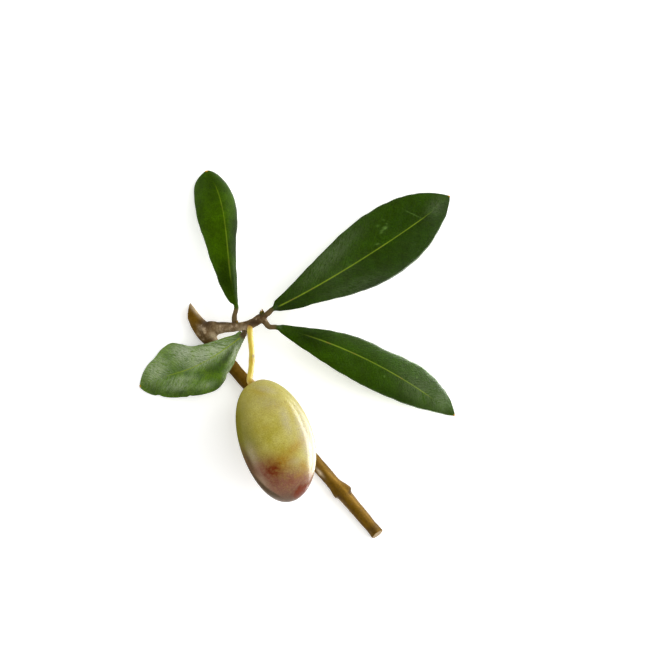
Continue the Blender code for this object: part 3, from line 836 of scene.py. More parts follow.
def side_veins(tree, on_right, slanted, rim, mottle):
    """How strong a side vein is: they leave the midrib in turn on each side, and end before the margin."""
    in_turn = add_node(tree, "ShaderNodeMath", {0: on_right, 1: VEIN_SPACING / 2, 2: slanted},
                       operation="MULTIPLY_ADD")
    wander = add_node(tree, "ShaderNodeMath", {0: mottle, 1: VEIN_WANDER, 2: in_turn.outputs[0]},
                      operation="MULTIPLY_ADD")
    off_vein = add_node(tree, "ShaderNodeMath", {0: wander.outputs[0], 1: VEIN_SPACING / 2},
                        operation="PINGPONG")
    vein = add_node(tree, "ShaderNodeMapRange", {"Value": off_vein.outputs[0], "From Min": 0.05,
                                                 "From Max": 0.42, "To Min": 1.0, "To Max": 0.0},
                    interpolation_type="SMOOTHSTEP")
    inside = add_node(tree, "ShaderNodeMapRange", {"Value": rim, "From Min": 0.5, "From Max": 0.95,
                                                   "To Min": 1.0, "To Max": 0.0},
                      interpolation_type="SMOOTHSTEP")
    return add_node(tree, "ShaderNodeMath", {0: vein.outputs[0], 1: inside.outputs[0]},
                    operation="MULTIPLY").outputs[0]


def wax_sheen_and_glints_on_crinkles(tree, crinkles, bloom):
    """How much pale wax colour lies: partly real wax and partly painted sheen, in streaks that the crinkles
    break, and painted glints on their crests.
    """
    streaked_wax_and_sheen = add_node(tree, "ShaderNodeMapRange", {"Value": crinkles, "From Min": 0.40, "From Max": 0.64,
                                                  "To Min": 0.3, "To Max": 0.8})
    # Painted glints on the crests, which are 0.2 mm wide
    centred = add_node(tree, "ShaderNodeMath", {0: crinkles, 1: 0.5}, operation="SUBTRACT")
    from_crest = add_node(tree, "ShaderNodeMath", {0: centred.outputs[0]}, operation="ABSOLUTE")
    crest_glint = add_node(tree, "ShaderNodeMapRange", {"Value": from_crest.outputs[0], "From Min": 0.0,
                                                  "From Max": 0.075, "To Min": 1.0, "To Max": 0.0})
    return [add_node(tree, "ShaderNodeMath", {0: cover.outputs[0], 1: bloom}, operation="MULTIPLY").outputs[0]
            for cover in (streaked_wax_and_sheen, crest_glint)]


def knotted_rib(look, tree, place):
    """Colour of the midrib, with knots where side veins join it."""
    knots = add_node(tree, "ShaderNodeTexNoise", {"Vector": place, "Scale": per_metre(2.2), "Detail": 1.0})
    knot = add_node(tree, "ShaderNodeMapRange", {"Value": knots.outputs["Fac"], "From Min": 0.58,
                                                 "From Max": 0.70})
    return add_node(tree, "ShaderNodeMix", {MIX_SHARE: knot.outputs[0], MIX_FIRST: look.rib,
                                            MIX_SECOND: look.rib_node}, data_type="RGBA").outputs[MIX_RESULT]


def felt_colour(look, tree, place):
    """Colour of the felt under the leaf: starry scales of 0.15 mm, drawn 0.22 mm across so that they show."""
    felt = add_node(tree, "ShaderNodeTexVoronoi", {"Vector": place, "Scale": per_metre(0.22)})
    share = add_node(tree, "ShaderNodeMapRange", {"Value": felt.outputs["Distance"], "From Max": 0.8,
                                                  "To Min": 0.0, "To Max": 0.45})
    return add_node(tree, "ShaderNodeMix", {MIX_SHARE: share.outputs[0], MIX_FIRST: look.underside,
                                            MIX_SECOND: look.felt}, data_type="RGBA").outputs[MIX_RESULT]


def petiole_brown(leaf, tree, along, from_rib):
    """How brown a point is: the petiole's brown runs a little way into the green foot of the blade."""
    woody = add_node(tree, "ShaderNodeMapRange", {"Value": along, "From Min": leaf.brown_end - 0.5,
                                                  "From Max": leaf.brown_end + 0.6, "To Min": 1.0,
                                                  "To Max": 0.0}, interpolation_type="SMOOTHSTEP")
    narrow = add_node(tree, "ShaderNodeMapRange", {"Value": from_rib, "From Min": 0.6, "From Max": 0.95,
                                                   "To Min": 1.0, "To Max": 0.0})
    return add_node(tree, "ShaderNodeMath", {0: woody.outputs[0], 1: narrow.outputs[0]},
                    operation="MULTIPLY").outputs[0]


def leaf_cuticle(leaf, look):
    """Waxy olive leaf: a thick glossy cuticle above, silvery felt below.

    The cuticle gives a grey-green sheen where it mirrors the softbox, and deep green elsewhere. A painted
    sheen and painted glints in its colour add to that, and painted shade darkens parts of it."""
    material, tree, shader = new_material("waxy_leaf_cuticle_" + leaf.name)
    value = {label: add_node(tree, "ShaderNodeAttribute", attribute_name=label).outputs["Fac"]
             for label in ("along", "across", "rim", "under", "point", "mark", "rib", "bloom", "tone")}
    place = add_node(tree, "ShaderNodeTexCoord").outputs["Object"]
    # Patches of older and younger tissue, 3 mm across
    mottle = add_node(tree, "ShaderNodeTexNoise", {"Vector": place, "Scale": per_metre(3.0),
                                                   "Detail": 3.0}).outputs["Fac"]
    # Cells of the cuticle are 0.02 mm across, drawn 0.35 mm across so that they show
    cells = add_node(tree, "ShaderNodeTexNoise", {"Vector": place, "Scale": per_metre(0.35),
                                                  "Detail": 2.0}).outputs["Fac"]
    from_rib, on_right, slanted = vein_places(tree, value["across"], value["along"])
    veins = side_veins(tree, on_right, slanted, value["rim"], mottle)
    vein_tint = add_node(tree, "ShaderNodeMath", {0: veins, 1: VEIN_TINT}, operation="MULTIPLY").outputs[0]
    # Crinkles run out along the side veins, about half a millimetre apart
    spread = add_node(tree, "ShaderNodeCombineXYZ", {"X": slanted, "Y": value["across"], "Z": on_right})
    drawn = add_node(tree, "ShaderNodeVectorMath", {0: spread.outputs[0], 1: CRINKLE_SQUEEZE},
                     operation="MULTIPLY")
    crinkles = add_node(tree, "ShaderNodeTexNoise", {"Vector": drawn.outputs[0], "Scale": 1.0, "Detail": 3.0,
                                                     "Roughness": 0.6, "Distortion": 0.9}).outputs["Fac"]
    wax_and_sheen, crest_glint_share = wax_sheen_and_glints_on_crinkles(tree, crinkles, value["bloom"])
    brown = petiole_brown(leaf, tree, value["along"], from_rib)
    point = add_node(tree, "ShaderNodeMapRange", {"Value": value["point"], "From Min": 0.3, "From Max": 0.8},
                     interpolation_type="SMOOTHSTEP").outputs[0]
    colour = leaf_tissue(leaf, tree, value["tone"], mottle, cells)
    # Each layer covers the ones before it by its share; the wax layer is partly painted sheen, and the crest
    # wax is painted glints
    for share, layer in ((wax_and_sheen, look.wax_and_sheen), (crest_glint_share, look.crest_glint), (vein_tint, look.rib),
                         (value["rib"], knotted_rib(look, tree, place)), (value["mark"], look.mark),
                         (value["under"], felt_colour(look, tree, place)), (brown, look.petiole),
                         (point, look.tip)):
        colour = add_node(tree, "ShaderNodeMix", {MIX_SHARE: share, MIX_FIRST: colour, MIX_SECOND: layer},
                          data_type="RGBA").outputs[MIX_RESULT]
    tree.links.new(colour, shader.inputs["Base Color"])
    dull = add_node(tree, "ShaderNodeMath", {0: value["under"], 1: brown}, operation="MAXIMUM").outputs[0]
    rough = add_node(tree, "ShaderNodeMapRange", {"Value": dull, "To Min": leaf.roughness, "To Max": 0.75})
    tree.links.new(rough.outputs[0], shader.inputs["Roughness"])
    shader.inputs["Specular IOR Level"].default_value = leaf.specular
    creased = add_node(tree, "ShaderNodeBump", {"Strength": 1.0, "Distance": leaf.crinkle * MM,
                                                "Height": crinkles})
    pebbles = add_node(tree, "ShaderNodeBump", {"Strength": 0.5, "Distance": 0.08 * MM,
                                                "Normal": creased.outputs[0], "Height": cells})
    tree.links.new(pebbles.outputs["Normal"], shader.inputs["Normal"])
    return material


def rib_mask(leaf, look, values):
    """Where the pale midrib shows on the upper side: widest at its foot, and lost before the tip."""
    share = values["share"].ravel()
    half_width = look.rib_half_width / MM * (1 - RIB_TAPER * share)
    line = np.exp(-(values["across"].ravel() / half_width) ** 2)
    ends = 1 - fade(share, leaf.rib_end - 0.1, leaf.rib_end)
    shown = fade(share, leaf.rib_start * 0.4, leaf.rib_start) * ends
    # It fades in places, a few millimetres apart
    rings = values["along"][:, 0]
    places = np.column_stack([rings, 0 * rings, 0 * rings])
    broken = 0.85 + 0.45 * noise_at(places, RIB_FADING_LENGTH, len(leaf.name))
    return leaf.rib * line * shown * np.clip(np.repeat(broken, values["along"].shape[1]), 0, 1)


def leaf_shading_tone(leaf, places, values):
    """Painted shade on the tissue: one half of a leaf is painted darker than the other, and so are parts of
    both.
    """
    halves = 1 - (1 - leaf.right_shading_tone) * fade(values["across"].ravel(), -0.3, 0.3)
    return halves * (1 - stain(places, leaf.shade))


class OLIVE_OT_leaves(bpy.types.Operator):
    """Builds the four leaves with their petioles"""
    bl_idname = "olive.leaves"
    bl_label = "Leaves"

    def execute(self, context):
        look = context.scene.olive_leaf
        for leaf in LEAVES:
            rings, values = leaf_grid(leaf, look)
            vertices = rings.reshape(-1, 3)
            vertices[:, 2] = np.maximum(vertices[:, 2], 0.0)
            attributes = {label: grid.ravel() for label, grid in values.items()}
            attributes["rib"] = rib_mask(leaf, look, values)
            attributes["mark"] = stain(vertices, leaf.marks)
            # Wax colour, partly painted sheen, is kept off the painted shade
            attributes["bloom"] = stain(vertices, leaf.bloom) * (1 - 0.8 * stain(vertices, leaf.shade))
            attributes["tone"] = leaf_shading_tone(leaf, vertices, values)
            add_piece("waxed_" + leaf.name, vertices, skin_leaf(rings), [leaf_cuticle(leaf, look)],
                      [leaf.name], attributes)
        return {"FINISHED"}


# Stem, side shoot and buds


def stem_centre_line():
    """The stem's middle line in space, lying on its flat facet, and its radius along it."""
    line = through([(x, y, 0) for x, y in STEM_LINE])
    shares = np.linspace(0, 1, STEM_RINGS)
    points, tangents = at_shares(line, shares)
    radii = np.array([steps(STEM_RADII, share) for share in shares])
    points[:, 2] = radii * STEM_SEAT
    return points, tangents, radii, shares, line_length(line)


def off_swelling(swelling, angles):
    """How far angles round the stem are from the way a swelling faces."""
    # The stem's line runs down the page, so the page's right is on the line's left
    facing = math.pi - SWELLING_LIFT if swelling.side == RIGHT else SWELLING_LIFT
    return np.angle(np.exp(1j * (angles - facing)))


def swollen_height(share, length, angles):
    """How far the swellings stand out of the stem round one section."""
    height = np.zeros(len(angles))
    for swelling in SWELLINGS:
        along = (share - swelling.share) * length
        reach = swelling.rise if along < 0 else swelling.fall
        turn = off_swelling(swelling, angles)
        height += swelling.height * math.exp(-(along / reach) ** 2) * np.exp(-(turn / swelling.spread) ** 2)
    return height * fade(np.sin(angles), -0.9, -0.5)


def lean_to_cut(ring, point, tangent, cut, amount):
    """Shifts a section's points along the stem towards the plane of a slanting cut."""
    shift = -((ring - point) @ np.asarray(cut)) / (tangent @ np.asarray(cut))
    return ring + amount * shift[:, None] * tangent


def main_stem_rings():
    """Sections of the stem with its swellings, leaning to the cuts at both ends."""
    points, tangents, radii, shares, length = stem_centre_line()
    angles = full_turn(STEM_SIDES)
    rings = []
    for point, tangent, radius, share in zip(points, tangents, radii, shares):
        ring = point + round_section(radius + swollen_height(share, length, angles), tangent, angles)
        near_top = max(0, 1 - share * length / CUT_REACH)
        near_foot = max(0, 1 - (1 - share) * length / CUT_REACH)
        ring = lean_to_cut(ring, point, tangent, PROXIMAL_CUT, near_top)
        rings.append(lean_to_cut(ring, point, tangent, DISTAL_CUT, near_foot))
    return np.array(rings)


def shoot_at(shares):
    """Points, tangents and radii of the side shoot."""
    points, tangents = at_shares(through(SHOOT_LINE), shares)
    return points, tangents, np.array([steps(SHOOT_RADII, share) for share in shares])


def cushion_rings(leaf):
    """Sections of the cushion that carries a leaf."""
    start = np.asarray(leaf.cushion, float)
    end = start + CUSHION_LENGTH * unit(leaf.cushion_way)
    shares = np.linspace(0, 1, CUSHION_RINGS)
    points, ways = at_shares(np.array((start, end)), shares)
    girths = [leaf.petiole_radius * steps(CUSHION_GIRTHS, share) for share in shares]
    return tube_rings(points, ways, girths, CUSHION_SIDES)


def woody_skin(look):
    """One closed skin over the stem, its shoot and the leaf cushions: points and faces, in millimetres."""
    points, tangents, radii = shoot_at(np.linspace(0, 1, SHOOT_RINGS))
    stacks = [main_stem_rings(), tube_rings(points, tangents, radii, SHOOT_SIDES)]
    stacks += [cushion_rings(leaf) for leaf in LEAVES]
    vertices, faces = [], []
    for rings in stacks:
        more, skin = skin_rings(rings, sum(len(v) for v in vertices))
        vertices.append(more)
        faces += skin
    rough = bpy.data.meshes.new("woody_rough")
    rough.from_pydata([tuple(v) for v in np.vstack(vertices) * MM], [], faces)
    holder = bpy.data.objects.new("woody_rough", rough)
    bpy.context.scene.collection.objects.link(holder)
    remesh = holder.modifiers.new("skin", "REMESH")
    remesh.mode = "VOXEL"
    remesh.voxel_size = look.voxel
    # Rounds the joints, as growing wood does
    relax = holder.modifiers.new("joints", "SMOOTH")
    relax.factor = JOINT_ROUNDING
    relax.iterations = JOINT_ROUNDS
    skin = bpy.data.meshes.new_from_object(holder.evaluated_get(bpy.context.evaluated_depsgraph_get()))
    bpy.data.objects.remove(holder)
    places = np.zeros(len(skin.vertices) * 3)
    skin.vertices.foreach_get("co", places)
    normals = np.zeros(len(skin.vertices) * 3)
    skin.vertex_normals.foreach_get("vector", normals)
    polygons = [tuple(face.vertices) for face in skin.polygons]
    return places.reshape(-1, 3) / MM, normals.reshape(-1, 3), polygons


def nearest_on(line, tangents, radii, places):
    """For each place: nearest index on a line, height above its radius and angle round it."""
    tree = kdtree.KDTree(len(line))
    for i, point in enumerate(line):
        tree.insert(point, i)
    tree.balance()
    index = np.array([tree.find(place)[1] for place in places])
    offsets = places - line[index]
    sides = unit_each(np.cross(tangents, (0, 0, 1)))
    ups = np.cross(sides, tangents)
    angle = np.arctan2((offsets * ups[index]).sum(1), (offsets * sides[index]).sum(1))
    return index, np.linalg.norm(offsets, axis=1) - radii[index], angle


def bark_values(places):
    """Where each point is on the bark: on the shoot or the stem, how far along and at which angle."""
    points, tangents, radii, _, length = stem_centre_line()
    index, stem_height, stem_angle = nearest_on(points, tangents, radii, places)
    along_stem = index / (len(points) - 1) * length
    shoot_points, shoot_tangents, shoot_radii = shoot_at(np.linspace(0, 1, SHOOT_SAMPLES))
    shoot_index, shoot_height, shoot_angle = nearest_on(shoot_points, shoot_tangents, shoot_radii, places)
    along_shoot = shoot_index / (SHOOT_SAMPLES - 1) * line_length(shoot_points)
    shoot = fade(stem_height - shoot_height, -0.5, 0.5)
    on_shoot = shoot > 0.5
    along = np.where(on_shoot, along_shoot, along_stem)
    angle = np.where(on_shoot, shoot_angle, stem_angle)
    return {"shoot": shoot, "along": along, "angle": angle, "stem_along": along_stem,
            "stem_angle": stem_angle, "stem_share": along_stem / length,
            "shoot_share": along_shoot / line_length(shoot_points)}


def streaked(along, angle, lengthened, spread):
    """Places on the bark for noise that is drawn out along the wood, and finer round it for more spread."""
    return np.column_stack([along / lengthened, spread * np.cos(angle), spread * np.sin(angle)])


def scatter_lenticels(places, look):
    """Corky pores: how much of one each point holds, from seeded places."""
    draw = random.Random(look.seed)
    cover = np.zeros(len(places))
    for _ in range(look.lenticels):
        centre = places[draw.randrange(len(places))]
        reach = draw.uniform(SMALLEST_PORE, LARGEST_PORE)
        near = np.abs(places - centre).max(1) < 3 * reach
        distance = np.linalg.norm(places[near] - centre, axis=1)
        cover[near] = np.maximum(cover[near], np.exp(-(distance / reach) ** 2))
    return cover


def olive_bark(look):
    """Young olive bark: smooth and ochre on the stem, grey-brown and speckled with cork on the shoot."""
    material, tree, shader = new_material("young_olive_bark")
    value = {label: add_node(tree, "ShaderNodeAttribute", attribute_name=label).outputs["Fac"]
             for label in ("shoot", "worn", "shade", "pale", "lenticel")}
    place = add_node(tree, "ShaderNodeTexCoord").outputs["Object"]
    # Weathering in patches 1.4 mm across, and grain 0.3 mm across
    patches = add_node(tree, "ShaderNodeTexNoise", {"Vector": place, "Scale": per_metre(1.4), "Detail": 4.0,
                                                    "Roughness": 0.65})
    grain = add_node(tree, "ShaderNodeTexNoise", {"Vector": place, "Scale": per_metre(0.3), "Detail": 2.0})
    smooth = add_node(tree, "ShaderNodeValToRGB", {"Fac": patches.outputs["Fac"]},
                      stops=((0.38, look.ochre), (0.75, look.ochre_light)))
    weathered = add_node(tree, "ShaderNodeValToRGB", {"Fac": patches.outputs["Fac"]},
                         stops=((0.38, look.brown), (0.70, look.grey)))
    # The grey patches are broken up like the weathering
    broken = add_node(tree, "ShaderNodeMapRange", {"Value": patches.outputs["Fac"], "From Min": 0.36,
                                                   "From Max": 0.56, "To Min": 0.6, "To Max": 1.0})
    pale = add_node(tree, "ShaderNodeMath", {0: broken.outputs[0], 1: value["pale"]}, operation="MULTIPLY")
    colour = smooth.outputs["Color"]
    # Each layer covers the ones before it by its share
    for share, layer in ((value["shoot"], weathered.outputs["Color"]), (value["worn"], look.worn),
                         (value["shade"], look.dark), (pale.outputs[0], look.pale),
                         (value["lenticel"], look.cork)):
        colour = add_node(tree, "ShaderNodeMix", {MIX_SHARE: share, MIX_FIRST: colour, MIX_SECOND: layer},
                          data_type="RGBA").outputs[MIX_RESULT]
    speckle = add_node(tree, "ShaderNodeMapRange", {"Value": grain.outputs["Fac"], "From Min": 0.3,
                                                    "From Max": 0.7, "To Min": 0.78, "To Max": 1.18})
    speckled = add_node(tree, "ShaderNodeVectorMath", {0: colour, "Scale": speckle.outputs[0]},
                        operation="SCALE")
    tree.links.new(speckled.outputs[0], shader.inputs["Base Color"])
    shader.inputs["Roughness"].default_value = 0.62
    shader.inputs["Specular IOR Level"].default_value = 0.06
    bumps = add_node(tree, "ShaderNodeBump", {"Strength": 0.6, "Distance": 0.08 * MM,
                                              "Height": grain.outputs["Fac"]})
    tree.links.new(bumps.outputs["Normal"], shader.inputs["Normal"])
    return material


def cut_wood(look):
    """Freshly cut olive wood: cream, with fine fibres, and matt as a knife leaves it."""
    material, tree, shader = new_material("cut_olive_wood")
    place = add_node(tree, "ShaderNodeTexCoord").outputs["Object"]
    fibres = add_node(tree, "ShaderNodeTexNoise", {"Vector": place, "Scale": per_metre(0.25), "Detail": 2.0})
    tint = add_node(tree, "ShaderNodeValToRGB", {"Fac": fibres.outputs["Fac"]},
                    stops=((0.35, look.fibre), (0.6, look.wood)))
    tree.links.new(tint.outputs["Color"], shader.inputs["Base Color"])
    shader.inputs["Roughness"].default_value = 0.8
    bumps = add_node(tree, "ShaderNodeBump", {"Strength": 0.5, "Distance": 0.05 * MM,
                                              "Height": fibres.outputs["Fac"]})
    tree.links.new(bumps.outputs["Normal"], shader.inputs["Normal"])
    return material


def bark_relief(places, value, lenticel, look):
    """How far the bark stands out: ridges along it, low waves, a rougher shoot, and the pores."""
    ridges = streaked(value["along"], value["angle"], RIDGE_LENGTHENING, RIDGE_SPREAD)
    relief = look.grain / MM * noise_at(ridges, RIDGE_SIZE)
    relief += BARK_WAVE_HEIGHT * noise_at(places, BARK_WAVE_SIZE, 2)
    relief += SHOOT_ROUGHNESS_HEIGHT * value["shoot"] * noise_at(places, SHOOT_ROUGHNESS_SIZE, 3)
    return relief + look.lenticel / MM * lenticel


def cut_shares(places, normals):
    """How much each point belongs to one of the two cuts: it lies near its plane and faces its way."""
    centres = stem_centre_line()[0]
    at_cut = np.zeros(len(places))
    for cut, centre in ((PROXIMAL_CUT, centres[0]), (DISTAL_CUT, centres[-1])):
        depth = (places - centre) @ unit(cut)
        facing = normals @ unit(cut)
        at_cut = np.maximum(at_cut, fade(depth, -0.5, -0.2) * fade(facing, 0.55, 0.8))
    return at_cut


class OLIVE_OT_stem(bpy.types.Operator):
    """Builds the woody stem with its side shoot and leaf cushions"""
    bl_idname = "olive.stem"
    bl_label = "Stem"

    def execute(self, context):
        look = context.scene.olive_wood
        places, normals, faces = woody_skin(look)
        if not len(places):
            raise RuntimeError("the stem's skin is empty")
        value = bark_values(places)
        lenticel = scatter_lenticels(places, look)
        at_cut = cut_shares(places, normals)
        relief = bark_relief(places, value, lenticel, look) * (1 - at_cut)
        places = places + normals * relief[:, None]
        places[:, 2] = np.maximum(places[:, 2], 0.0)
        worn, shade, pale = bark_tints(places, value)
        # Pores show far more on the shoot than on the stem
        pores = PORE_STRENGTH * lenticel * (PORE_ON_STEM + (1 - PORE_ON_STEM) * value["shoot"])
        piece = add_piece("bark_stem", places, faces, [olive_bark(look), cut_wood(look)], ["stem"],
                          {"shoot": value["shoot"], "worn": worn, "shade": shade, "pale": pale,
                           "lenticel": pores})
        cut_faces = at_cut[[face[0] for face in faces]] > 0.5
        piece.data.polygons.foreach_set("material_index", cut_faces.astype(np.int32))
        return {"FINISHED"}


# Patches on the bark, seen from above: grey where it is weathered, and dark ones, mostly painted shade in the
# axils
PALE_BARK = (Mark(-17.8, 5.9, 3.4, 1.2, 0.12, 0.3), Mark(-20.8, 4.5, 1.1, 0.8, -0.5, 0.9),
             Mark(-13.2, 6.3, 1.8, 0.8, 0.3, 0.7), Mark(-25.4, 11.0, 2.2, 0.6, -0.81, 0.9),
             Mark(-24.0, 6.6, 1.3, 0.5, -0.6, 0.5), Mark(-20.4, 1.9, 1.2, 0.7, -0.8, 0.7),
             Mark(5.7, -29.8, 1.4, 0.4, -0.87, 0.9), Mark(10.6, -36.9, 1.2, 0.3, -0.87, 0.5))
DARK_AND_SHADED_BARK = (Mark(-22.9, 8.0, 1.9, 1.7, -0.6), Mark(19.4, -43.9, 1.2, 2.5, -0.87, 0.5),
             Mark(-15.6, 8.3, 1.6, 0.7, 0.0, 0.9), Mark(-10.6, 8.0, 3.0, 1.5, 0.35),
             Mark(-19.0, 8.0, 3.0, 0.6, -0.05, 0.8), Mark(-22.0, 3.0, 1.0, 2.0, -0.6, 0.15))


# Angle round the stem of the pale streaks, between straight up and level on the right, and their spread; they
# are partly worn bark and partly painted light on the side that faces the light
WORN_AND_LIT_FACING = 2.2
WORN_AND_LIT_SPREAD = 0.42
# Share of the stem at its pair of scars, and how far the bark round them is worn
SCARS_SHARE = 0.8
SCARS_REACH = 0.06
# Share of the stem at the fold below the side shoot, darkened as painted shade, and its reach
FOLD_SHARE = 0.115
FOLD_REACH = 0.02
# The dark edge of a leaf scar: how far below it, its reach along the stem, and its reach round it in radians
EDGE_BELOW = 0.6
EDGE_REACH = 0.7
EDGE_ANGLE = 0.7


def scar_edges(share, angle):
    """The dark edge below each of the two leaf scars."""
    edges = np.zeros(len(share))
    for swelling in SWELLINGS[1:]:
        below = (share - swelling.share) * STEM_LENGTH_ROUNDED
        along = np.exp(-((below - EDGE_BELOW) / EDGE_REACH) ** 2)
        edges = np.maximum(edges, along * np.exp(-(off_swelling(swelling, angle) / EDGE_ANGLE) ** 2))
    return edges


def bark_tints(places, value):
    """Where the bark is paler on the side that faces the light, partly worn and partly painted light; where it
    is dark, in places as painted shade; and where it is grey.
    """
    share, angle = value["stem_share"], value["stem_angle"]
    on_stem = 1 - value["shoot"]
    # Above the right flank, the lower stem is paler in streaks, most of all by the pair of scars: partly worn
    # bark, and partly painted light on the side that faces the light
    streaks = streaked(value["stem_along"], angle, STREAK_LENGTHENING, STREAK_SPREAD)
    streak = 0.75 + 0.6 * noise_at(streaks, 1.0, 9)
    above = np.exp(-((angle - WORN_AND_LIT_FACING) / WORN_AND_LIT_SPREAD) ** 2) * (np.sin(angle) > 0)
    by_scars = np.exp(-((share - SCARS_SHARE) / SCARS_REACH) ** 2)
    worn = on_stem * fade(share, 0.3, 0.6) * above * (0.6 + 0.4 * by_scars)
    worn = np.clip(0.8 * worn * streak, 0, 1)
    dark = (scar_edges(share, angle) * on_stem,
            # The end of the shoot, and painted shade in the fold where it leaves the stem
            value["shoot"] * fade(value["shoot_share"], 0.55, 0.95) * 0.6,
            0.6 * on_stem * np.exp(-((share - FOLD_SHARE) / FOLD_REACH) ** 2),
            # Streaks along the stem
            on_stem * np.clip(0.8 * noise_at(streaks, 1.3, 10) - 0.1, 0, 0.3),
            # Painted shade along the right edge of the lower stem
            0.28 * on_stem * fade(share, 0.25, 0.5) * fade(-np.cos(angle), 0.80, 0.99),
            stain(places, DARK_AND_SHADED_BARK))
    return worn, np.max(dark, axis=0), stain(places, PALE_BARK)


def bud_scales(foot, tip, radius, turn):
    """Pointed scales that overlap round a bud, each a thin curved shell."""
    foot, tip = np.asarray(foot, float), np.asarray(tip, float)
    axis = unit(tip - foot)
    side, up = side_and_up(axis)
    length = np.linalg.norm(tip - foot)
    s = np.linspace(0, 1, SCALE_ROWS)[:, None]
    t = np.linspace(-1, 1, SCALE_COLUMNS)[None, :]
    # A scale bulges in its middle and closes to its point
    swell = 1 + 0.35 * np.sin(math.pi * s)
    half_angle = SCALE_HALF_ANGLE * (1 - s ** 1.8) + 0.02
    vertices, faces = [], []
    for layer in range(BUD_SCALES):
        angle = turn + layer * math.pi / 2 + half_angle * t
        reach = 0.72 + 0.28 * layer / (BUD_SCALES - 1)
        layer_radius = radius * (0.82 + 0.12 * (BUD_SCALES - layer) / BUD_SCALES)
        faces += shell_faces(SCALE_ROWS, SCALE_COLUMNS, sum(len(v) for v in vertices))
        for offset in (0.0, SCALE_THICKNESS):
            girth = layer_radius * (1 - s ** 2.2) ** 0.7 * swell + offset * 0.6
            height = -0.15 + (length * reach + 0.1) * s + offset * 0.2
            grid = (foot + height[..., None] * axis + (girth * np.cos(angle))[..., None] * side
                    + (girth * np.sin(angle))[..., None] * up)
            vertices.append(grid.reshape(-1, 3))
    return np.vstack(vertices), faces


def shell_faces(rows, columns, first):
    """Faces of a thin closed shell between an inner and an outer grid."""
    size = rows * columns
    faces = []
    for i in range(rows - 1):
        for k in range(columns - 1):
            a = first + i * columns + k
            quad = (a, a + 1, a + columns + 1, a + columns)
            faces.append(quad[::-1])
            faces.append(tuple(corner + size for corner in quad))
    rim = [(0, k) for k in range(columns)] + [(i, columns - 1) for i in range(1, rows)]
    rim += [(rows - 1, k) for k in range(columns - 2, -1, -1)] + [(i, 0) for i in range(rows - 2, 0, -1)]
    ring = [first + i * columns + k for i, k in rim]
    for a, b in zip(ring, ring[1:] + ring[:1]):
        faces.append((a, b, b + size, a + size))
    return faces


# Colour of a bud's scales at each share of its length
BUD_COLOURS = ((0.0, "#4a3820"), (0.35, "#3a3212"), (0.55, "#4a4810"), (0.72, "#b88418"))


def bud_scale_skin():
    """Young bud scales: brown at the foot, green and matt with down above, and dry and amber at the tip."""
    material, tree, shader = new_material("bud_scale")
    value = add_node(tree, "ShaderNodeAttribute", attribute_name="tip").outputs["Fac"]
    tint = add_node(tree, "ShaderNodeValToRGB", {"Fac": value},
                    stops=[(place, to_linear(colour)) for place, colour in BUD_COLOURS])
    tree.links.new(tint.outputs["Color"], shader.inputs["Base Color"])
    shader.inputs["Roughness"].default_value = 0.7
    shader.inputs["Specular IOR Level"].default_value = 0.15
    return material


class OLIVE_OT_buds(bpy.types.Operator):
    """Builds the scales of the end bud and the side bud"""
    bl_idname = "olive.buds"
    bl_label = "Buds"

    def execute(self, context):
        material = bud_scale_skin()
        for name, (foot, tip, radius), turn in (("end_bud_scales", END_BUD, 0.5),
                                                ("side_bud_scales", AXIL_BUD, 0.0)):
            vertices, faces = bud_scales(foot, tip, radius, turn)
            axis = unit(np.subtract(tip, foot))
            height = (vertices - foot) @ axis / np.linalg.norm(np.subtract(tip, foot))
            add_piece(name, vertices, faces, [material], [], {"tip": np.clip(height, 0, 1)})
        return {"FINISHED"}


# Olive and its stalk


def olive_axes():
    """The olive's own directions: right of its length, towards the viewer above, and its length."""
    length = unit(OLIVE_AXIS)
    right = unit(np.cross(length, (0, 0, 1)))
    return np.array((right, np.cross(right, length), length))


def olive_points(directions):
    """The olive's surface in directions on the unit ball, without the pit."""
    x, y, z = directions.T
    bend = OLIVE_BULGE - np.where(z > 0, OLIVE_BEND, OLIVE_TIP_BEND) * z * z
    local = np.column_stack([OLIVE_HALF_BREADTH * x + bend, OLIVE_HALF_BREADTH * y, OLIVE_HALF_LENGTH * z])
    return np.asarray(OLIVE_MIDDLE) + local @ olive_axes()


def pit_frame():
    """Two directions square to the pit's direction, and the pit's own, on the unit ball."""
    centre = unit(PIT_DIRECTION)
    first = unit(np.cross((0, 1, 0), centre))
    return first, np.cross(centre, first), centre


def pit_seat():
    """The middle of the pit's floor and the way out of it."""
    _, _, centre = pit_frame()
    x, y, z = centre
    normal = np.array((x / OLIVE_HALF_BREADTH, y / OLIVE_HALF_BREADTH, z / OLIVE_HALF_LENGTH))
    out = unit(normal @ olive_axes())
    return olive_points(centre[None, :])[0] - PIT_DEPTH * out, out


